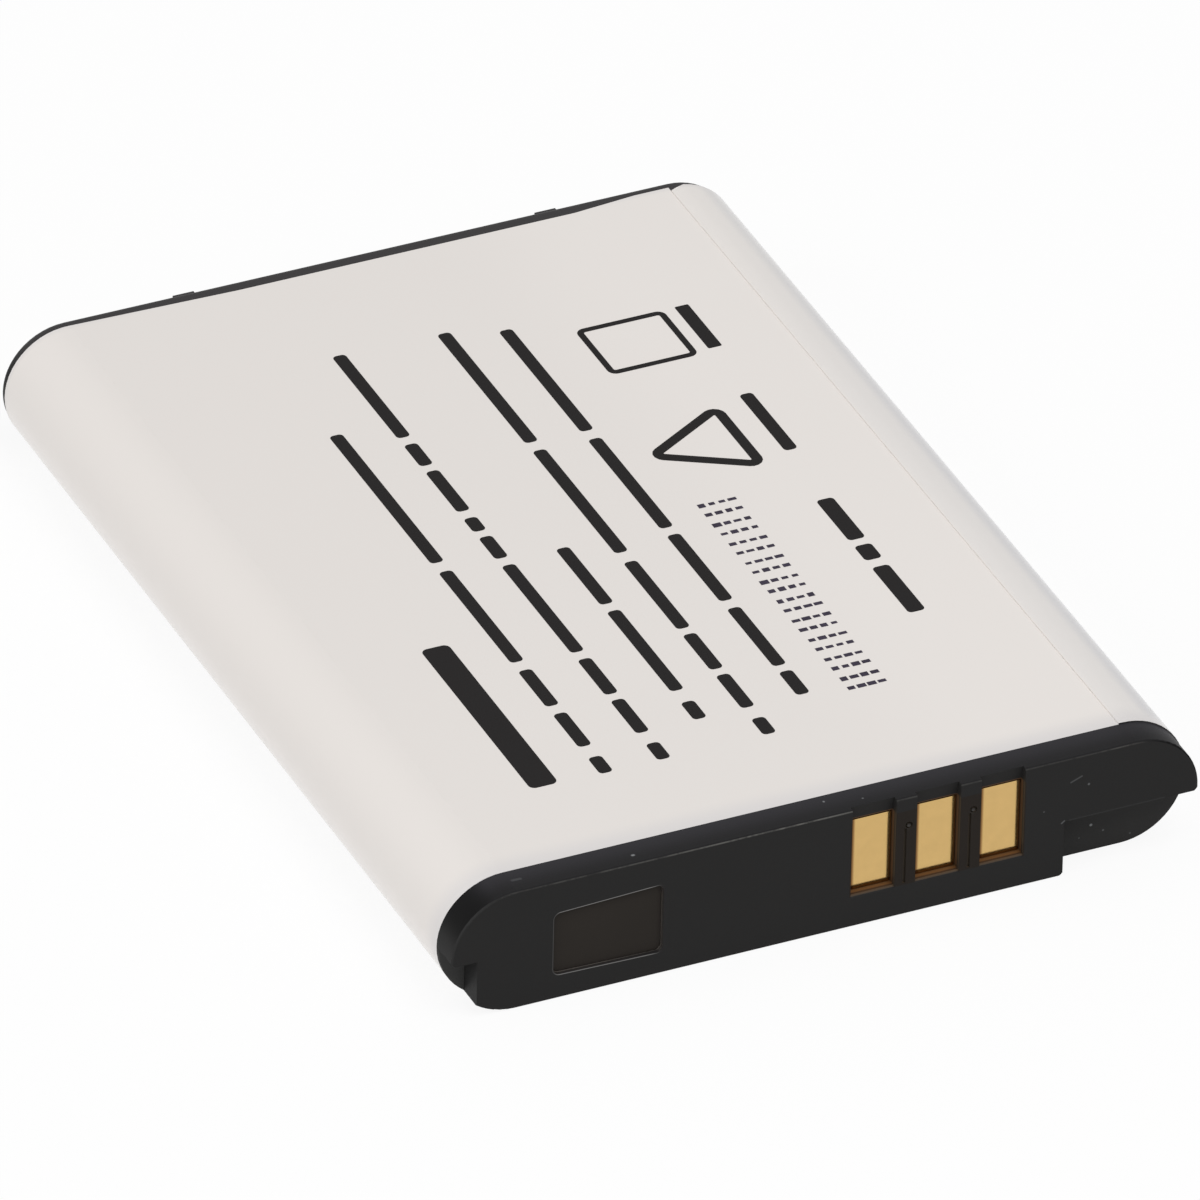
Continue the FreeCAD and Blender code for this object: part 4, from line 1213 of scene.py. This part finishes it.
class PackFinishes:
    """The pack's finishes, placed from the frame."""

    BLACK = (0.0212, 0.0209, 0.0208)
    # painted sheen on the rear cover's upward faces
    COVER_TOP_SHEEN = (0.044, 0.042, 0.043)
    DULL = 0.05
    CLEARANCE = 0.05 * MM
    RECESS_FLARES = (0.12 * MM, 0.19 * MM)
    RECESS_CORNER = 0.3 * MM
    NOTCH_WALL = ((1.0, 0.0, 0.0), (1.4, 0.0, 3.0))
    NOTCH_BACK = 1.32
    TOP = 6.0
    # span in mm from the left over which the film's painted lighter tone comes in
    FILM_PAINTED_LIGHT = (20.0, 27.0)
    LAP_START = 31.86
    # painted edge light: a highlight on the top front edge, weaker lower down on ribs and sills; a
    # faint highlight on the left front edge; painted shade on the upper left rounding and on the
    # right front edge
    PAINTED_EDGE_LIGHT = (
        PaintedEdgeLight((0.0, -0.9, 0.436), (0.13, 0.128, 0.12),
                 ((0.0, 0.0), (0.07, 0.22), (0.25, 0.42), (0.4, 0.85), (0.52, 0.8),
                  (0.54, 0.28), (0.76, 0.18), (0.86, 0.18), (0.9, 0.38), (0.93, 0.0)),
                 tightness=0.905, break_share=0.56, low_share=0.25),
        PaintedEdgeLight((-0.62, -0.7, 0.35), (0.029, 0.029, 0.029),
                 ((0.0, 1.0), (0.04, 1.0), (0.09, 0.0), (1.0, 0.0)), tightness=0.7),
        PaintedEdgeLight((-0.72, 0.0, 0.69), (0.004, 0.004, 0.004),
                 ((0.0, 0.9), (0.08, 0.9), (0.12, 0.0), (1.0, 0.0)), tightness=0.86),
        PaintedEdgeLight((0.55, -0.71, 0.45), (0.003, 0.003, 0.003),
                 ((0.0, 0.0), (0.9, 0.0), (0.93, 1.0)), tightness=0.85))
    SCRATCHES_AND_GLINTS = (
        ScratchOrGlint((28.92, 0.0, 4.74), 0.05, 0.12, (29.43, 0.0, 4.94)),
        ScratchOrGlint((29.77, 0.0, 4.44), 0.07, 0.24),
        ScratchOrGlint((28.54, 0.0, 2.74), 0.05, 0.18, (28.66, 0.0, 2.83)),
        ScratchOrGlint((27.68, 0.0, 3.55), 0.05, 0.14),
        ScratchOrGlint((30.6, NOTCH_BACK, 1.29), 0.08, 0.6),
        ScratchOrGlint((31.19, NOTCH_BACK, 0.87), 0.06, 0.28),
        ScratchOrGlint((32.48, NOTCH_BACK, 0.38), 0.06, 0.15),
        ScratchOrGlint((30.05, NOTCH_BACK, 0.76), 0.05, 0.15),
        # painted highlight: a short glint on the band near the left end
        ScratchOrGlint((3.15, 0.84, TOP), 0.1, 0.08, (3.5, 0.83, TOP)),
        ScratchOrGlint((8.6, 0.58, TOP), 0.08, 0.5, (8.65, 0.58, TOP)),
        ScratchOrGlint((17.77, 1.1, TOP), 0.06, 0.45, (17.77, 1.12, TOP)),
        ScratchOrGlint((19.4, 0.7, TOP), 0.05, 0.3, (19.42, 0.7, TOP)),
        # painted highlight along the right notch's top edge
        ScratchOrGlint((28.9, 0.0, 2.81), 0.04, 0.03, (33.4, 0.0, 2.81)),
        # painted highlights on the two gate marks
        ScratchOrGlint((21.28, 0.0, 4.5), 0.14, 0.09),
        ScratchOrGlint((24.29, 0.0, 4.5), 0.14, 0.09))

    def __init__(self) -> None:
        """Take the places of the film and the caps from the frame."""
        self.cap_low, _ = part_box("front_cap")
        self.film_low, self.film_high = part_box("label_wrap")

    def moulded(self) -> list[Finish]:
        """Give the finishes of the front cap and the rear cover.

        Returns:
            The two finishes.
        """
        _, cover_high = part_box("rear_cover")
        first_pad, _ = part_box("contact_left")
        _, last_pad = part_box("contact_right")
        low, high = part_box("recess_film")
        flare_low, flare_high = self.RECESS_FLARES
        clear = self.CLEARANCE
        recess = Opening(
            Vector((low.x - clear, 0.0, low.z - clear + flare_low)),
            Vector((high.x + clear, 0.0, high.z + clear - flare_high)),
            flare_low, flare_high, self.RECESS_CORNER)
        margin = Vector((2 * clear, 0.0, 2 * clear))
        return [
            MouldedFinish(
                "moulded_black", self.BLACK, roughness=0.5, specular=self.DULL,
                grain_per_mm=9.0, grain_height=0.004 * MM, face_level=self.cap_low.y,
                film_level=self.film_low.y, lines=self.PAINTED_EDGE_LIGHT, scratches_and_glints=self.SCRATCHES_AND_GLINTS,
                recess=recess, windows=Opening(first_pad - margin, last_pad + margin),
                notch=Opening(*(from_corner(place) for place in self.NOTCH_WALL))),
            MouldedFinish(
                "cover_black", self.BLACK, roughness=0.45, specular=self.DULL,
                grain_per_mm=9.0, grain_height=0.003 * MM, face_level=cover_high.y,
                film_level=self.film_high.y, band_sheen_at_face=self.COVER_TOP_SHEEN,
                band_sheen_at_film=self.COVER_TOP_SHEEN)]

    def gold(self) -> Finish:
        """Give the finish of the contacts, placed by their pitch.

        Returns:
            The finish.
        """
        first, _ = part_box("contact_left")
        low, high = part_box("contact_middle")
        return PadFinish(
            "gold_plate", (0.615, 0.412, 0.163), roughness=0.16, metallic=1.0, grain_per_mm=6.0,
            grain_stretch=(1.0, 1.0, 0.12), grain_height=0.0012 * MM, clouds_per_mm=1.6,
            cloudiness=0.16, middle=(low.x + high.x) / 2, pitch=low.x - first.x,
            half_width=(high.x - low.x) / 2, foot=low.z)

    def wrapping(self) -> list[Finish]:
        """Give the finishes of the film, its ink and the tape.

        Returns:
            The finishes.
        """
        ink = {"roughness": 0.45, "specular": self.DULL, "grain_per_mm": 12.0,
               "grain_height": 0.001 * MM}
        return [
            FilmFinish(
                "wrap_film", (0.782, 0.743, 0.712), roughness=0.18, specular=0.25,
                grain_per_mm=3.0, grain_height=0.0006 * MM, clouds_per_mm=0.06, cloudiness=0.02,
                film_painted_light_span=tuple(from_left(place) for place in self.FILM_PAINTED_LIGHT),
                lap_start=from_left(self.LAP_START), front=self.film_low.y, rear=self.film_high.y),
            Finish("recess_film", (0.0268, 0.023, 0.0198), roughness=0.55, specular=self.DULL,
                   grain_per_mm=5.0, cloudiness=0.3),
            Finish("print_ink", (0.014, 0.0125, 0.0125), cloudiness=0.3, **ink),
            Finish("code_ink", (0.045, 0.037, 0.058), clouds_per_mm=1.2, cloudiness=0.9, **ink),
            Finish("tape", (0.72, 0.72, 0.68), roughness=0.6, grain_per_mm=4.0,
                   grain_height=0.004 * MM)]

    @staticmethod
    def inner() -> list[Finish]:
        """Give the finishes of what is inside.

        Returns:
            The finishes.
        """
        return [
            Finish("can_aluminium", (0.76, 0.77, 0.78), roughness=0.32, metallic=1.0,
                   grain_per_mm=5.0, grain_stretch=(1.0, 0.05, 1.0), grain_height=0.001 * MM),
            Finish("nickel", (0.7, 0.69, 0.66), roughness=0.28, metallic=1.0,
                   grain_per_mm=7.0, grain_stretch=(0.1, 1.0, 1.0), grain_height=0.001 * MM),
            Finish("board_laminate", (0.03, 0.19, 0.08), roughness=0.35, grain_per_mm=2.5,
                   cloudiness=0.3),
            Finish("chip_moulding", (0.022, 0.022, 0.024), roughness=0.6, grain_per_mm=14.0,
                   grain_height=0.004 * MM),
            Finish("component_ceramic", (0.4, 0.31, 0.2), roughness=0.55, grain_per_mm=18.0,
                   cloudiness=0.3),
            Finish("insulating_sheet", (0.74, 0.7, 0.58), roughness=0.75, grain_per_mm=6.0,
                   grain_stretch=(0.25, 1.0, 1.0), grain_height=0.006 * MM, cloudiness=0.2),
            Finish("gasket_polymer", (0.8, 0.8, 0.77), roughness=0.4, grain_per_mm=5.0)]

    def by_name(self) -> dict[str, Finish]:
        """Give every finish by its name."""
        finishes = [*self.moulded(), self.gold(), *self.wrapping(), *self.inner()]
        return {finish.name: finish for finish in finishes}


@dataclass
class PhotoCamera:
    """Camera at the photograph's viewing angle, far off behind a very long lens."""

    azimuth: float = math.radians(-25.234)
    elevation: float = math.radians(33.571)
    roll: float = math.radians(1.315)
    distance: float = 1037.523 * MM
    aim_from_corner: Triple = (17.363, 22.97, 3.0)
    lens_mm: float = 720.54
    sensor_mm: float = 36.0

    def build(self) -> None:
        """Make the camera and use it."""
        data = bpy.data.cameras.new("photo_camera")
        data.lens = self.lens_mm
        data.sensor_width = self.sensor_mm
        data.sensor_fit = "HORIZONTAL"
        camera = new_object("photo_camera", data)
        ahead = Vector((-math.sin(self.azimuth) * math.cos(self.elevation),
                        math.cos(self.azimuth) * math.cos(self.elevation),
                        -math.sin(self.elevation)))
        level = Vector((math.cos(self.azimuth), math.sin(self.azimuth), 0.0))
        right = Matrix.Rotation(self.roll, 3, ahead).inverted() @ level
        pose = Matrix((right, right.cross(ahead), -ahead)).transposed().to_4x4()
        pose.translation = from_corner(self.aim_from_corner) - ahead * self.distance
        camera.matrix_world = pose
        bpy.context.scene.camera = camera


@dataclass(frozen=True)
class Softbox:
    """A soft square light that points at the pack."""

    name: str
    place: Triple
    size: float
    power: float

    def build(self) -> None:
        """Make the light."""
        data = bpy.data.lights.new(self.name, "AREA")
        data.shape = "SQUARE"
        data.size = self.size
        data.energy = self.power
        lamp = new_object(self.name, data)
        lamp.location = self.place
        lamp.rotation_euler = (-Vector(self.place)).to_track_quat("-Z", "Y").to_euler()


@dataclass
class Studio:
    """White floor, even surrounding light and softboxes."""

    floor_size: float = 4.0
    floor_gap: float = 0.01 * MM
    floor_colour: Triple = (0.94, 0.94, 0.94)
    floor_white: float = 0.9
    around: float = 0.44
    lights: tuple[Softbox, ...] = (
        Softbox("left_softbox", (-0.6525, -0.075, 0.36), size=0.45, power=1.68),
        Softbox("top_softbox", (0.1, -0.35, 0.7), size=0.5, power=2.95))

    @staticmethod
    def seen_directly(graph: Graph) -> Socket:
        """Mask the rays from the camera, or by way of gloss or glass.

        Args:
            graph: Tree to write into.

        Returns:
            1 for such rays.
        """
        path = graph.add("ShaderNodeLightPath").outputs
        gloss = graph.larger(path["Is Glossy Ray"], path["Is Transmission Ray"])
        return graph.larger(path["Is Camera Ray"], gloss)

    def floor(self) -> None:
        """Make the floor, which looks white and keeps a light shadow."""
        half = self.floor_size / 2
        mesh = bpy.data.meshes.new("studio_floor")
        corners = [(-half, -half), (half, -half), (half, half), (-half, half)]
        mesh.from_pydata([(x, y, -self.floor_gap) for x, y in corners], [], [(0, 1, 2, 3)])
        floor = new_object("studio_floor", mesh)
        material = bpy.data.materials.new("studio_floor")
        material.use_nodes = True
        graph = Graph(material.node_tree)
        output = material.node_tree.nodes["Material Output"]
        material.node_tree.nodes.remove(material.node_tree.nodes["Principled BSDF"])
        paper = graph.make("ShaderNodeBsdfDiffuse", {"Color": self.floor_colour})
        white = graph.make("ShaderNodeEmission", {"Color": ONES})
        share = graph.times(self.seen_directly(graph), self.floor_white)
        mixed = graph.make("ShaderNodeMixShader", {0: share, 1: paper, 2: white})
        graph.feed(output.inputs["Surface"], mixed)
        mesh.materials.append(material)

    def surroundings(self) -> None:
        """Make the world: even light, and white where it is seen."""
        world = bpy.data.worlds.new("studio")
        bpy.context.scene.world = world
        world.use_nodes = True
        graph = Graph(world.node_tree)
        seen = self.seen_directly(graph)
        strength = graph.plus(self.around, graph.times(seen, 1.0 - self.around))
        background = world.node_tree.nodes["Background"]
        graph.feed(background.inputs["Color"], ONES)
        graph.feed(background.inputs["Strength"], strength)

    def build(self) -> None:
        """Make the studio."""
        self.floor()
        self.surroundings()
        for light in self.lights:
            light.build()
        bpy.context.scene.view_settings.view_transform = "Standard"


def main() -> None:
    """Build the looks of the pack, then its studio."""
    logging.basicConfig(level=logging.INFO, format="%(name)s: %(message)s")
    effects = SurfaceEffects()
    finishes = PackFinishes().by_name()
    PhotoCamera().build()
    for assembly in (ContactEnd, SealedCell, Wrapping):
        assembly(finishes, effects).build()
    Studio().build()


if __name__ == "__main__":
    main()
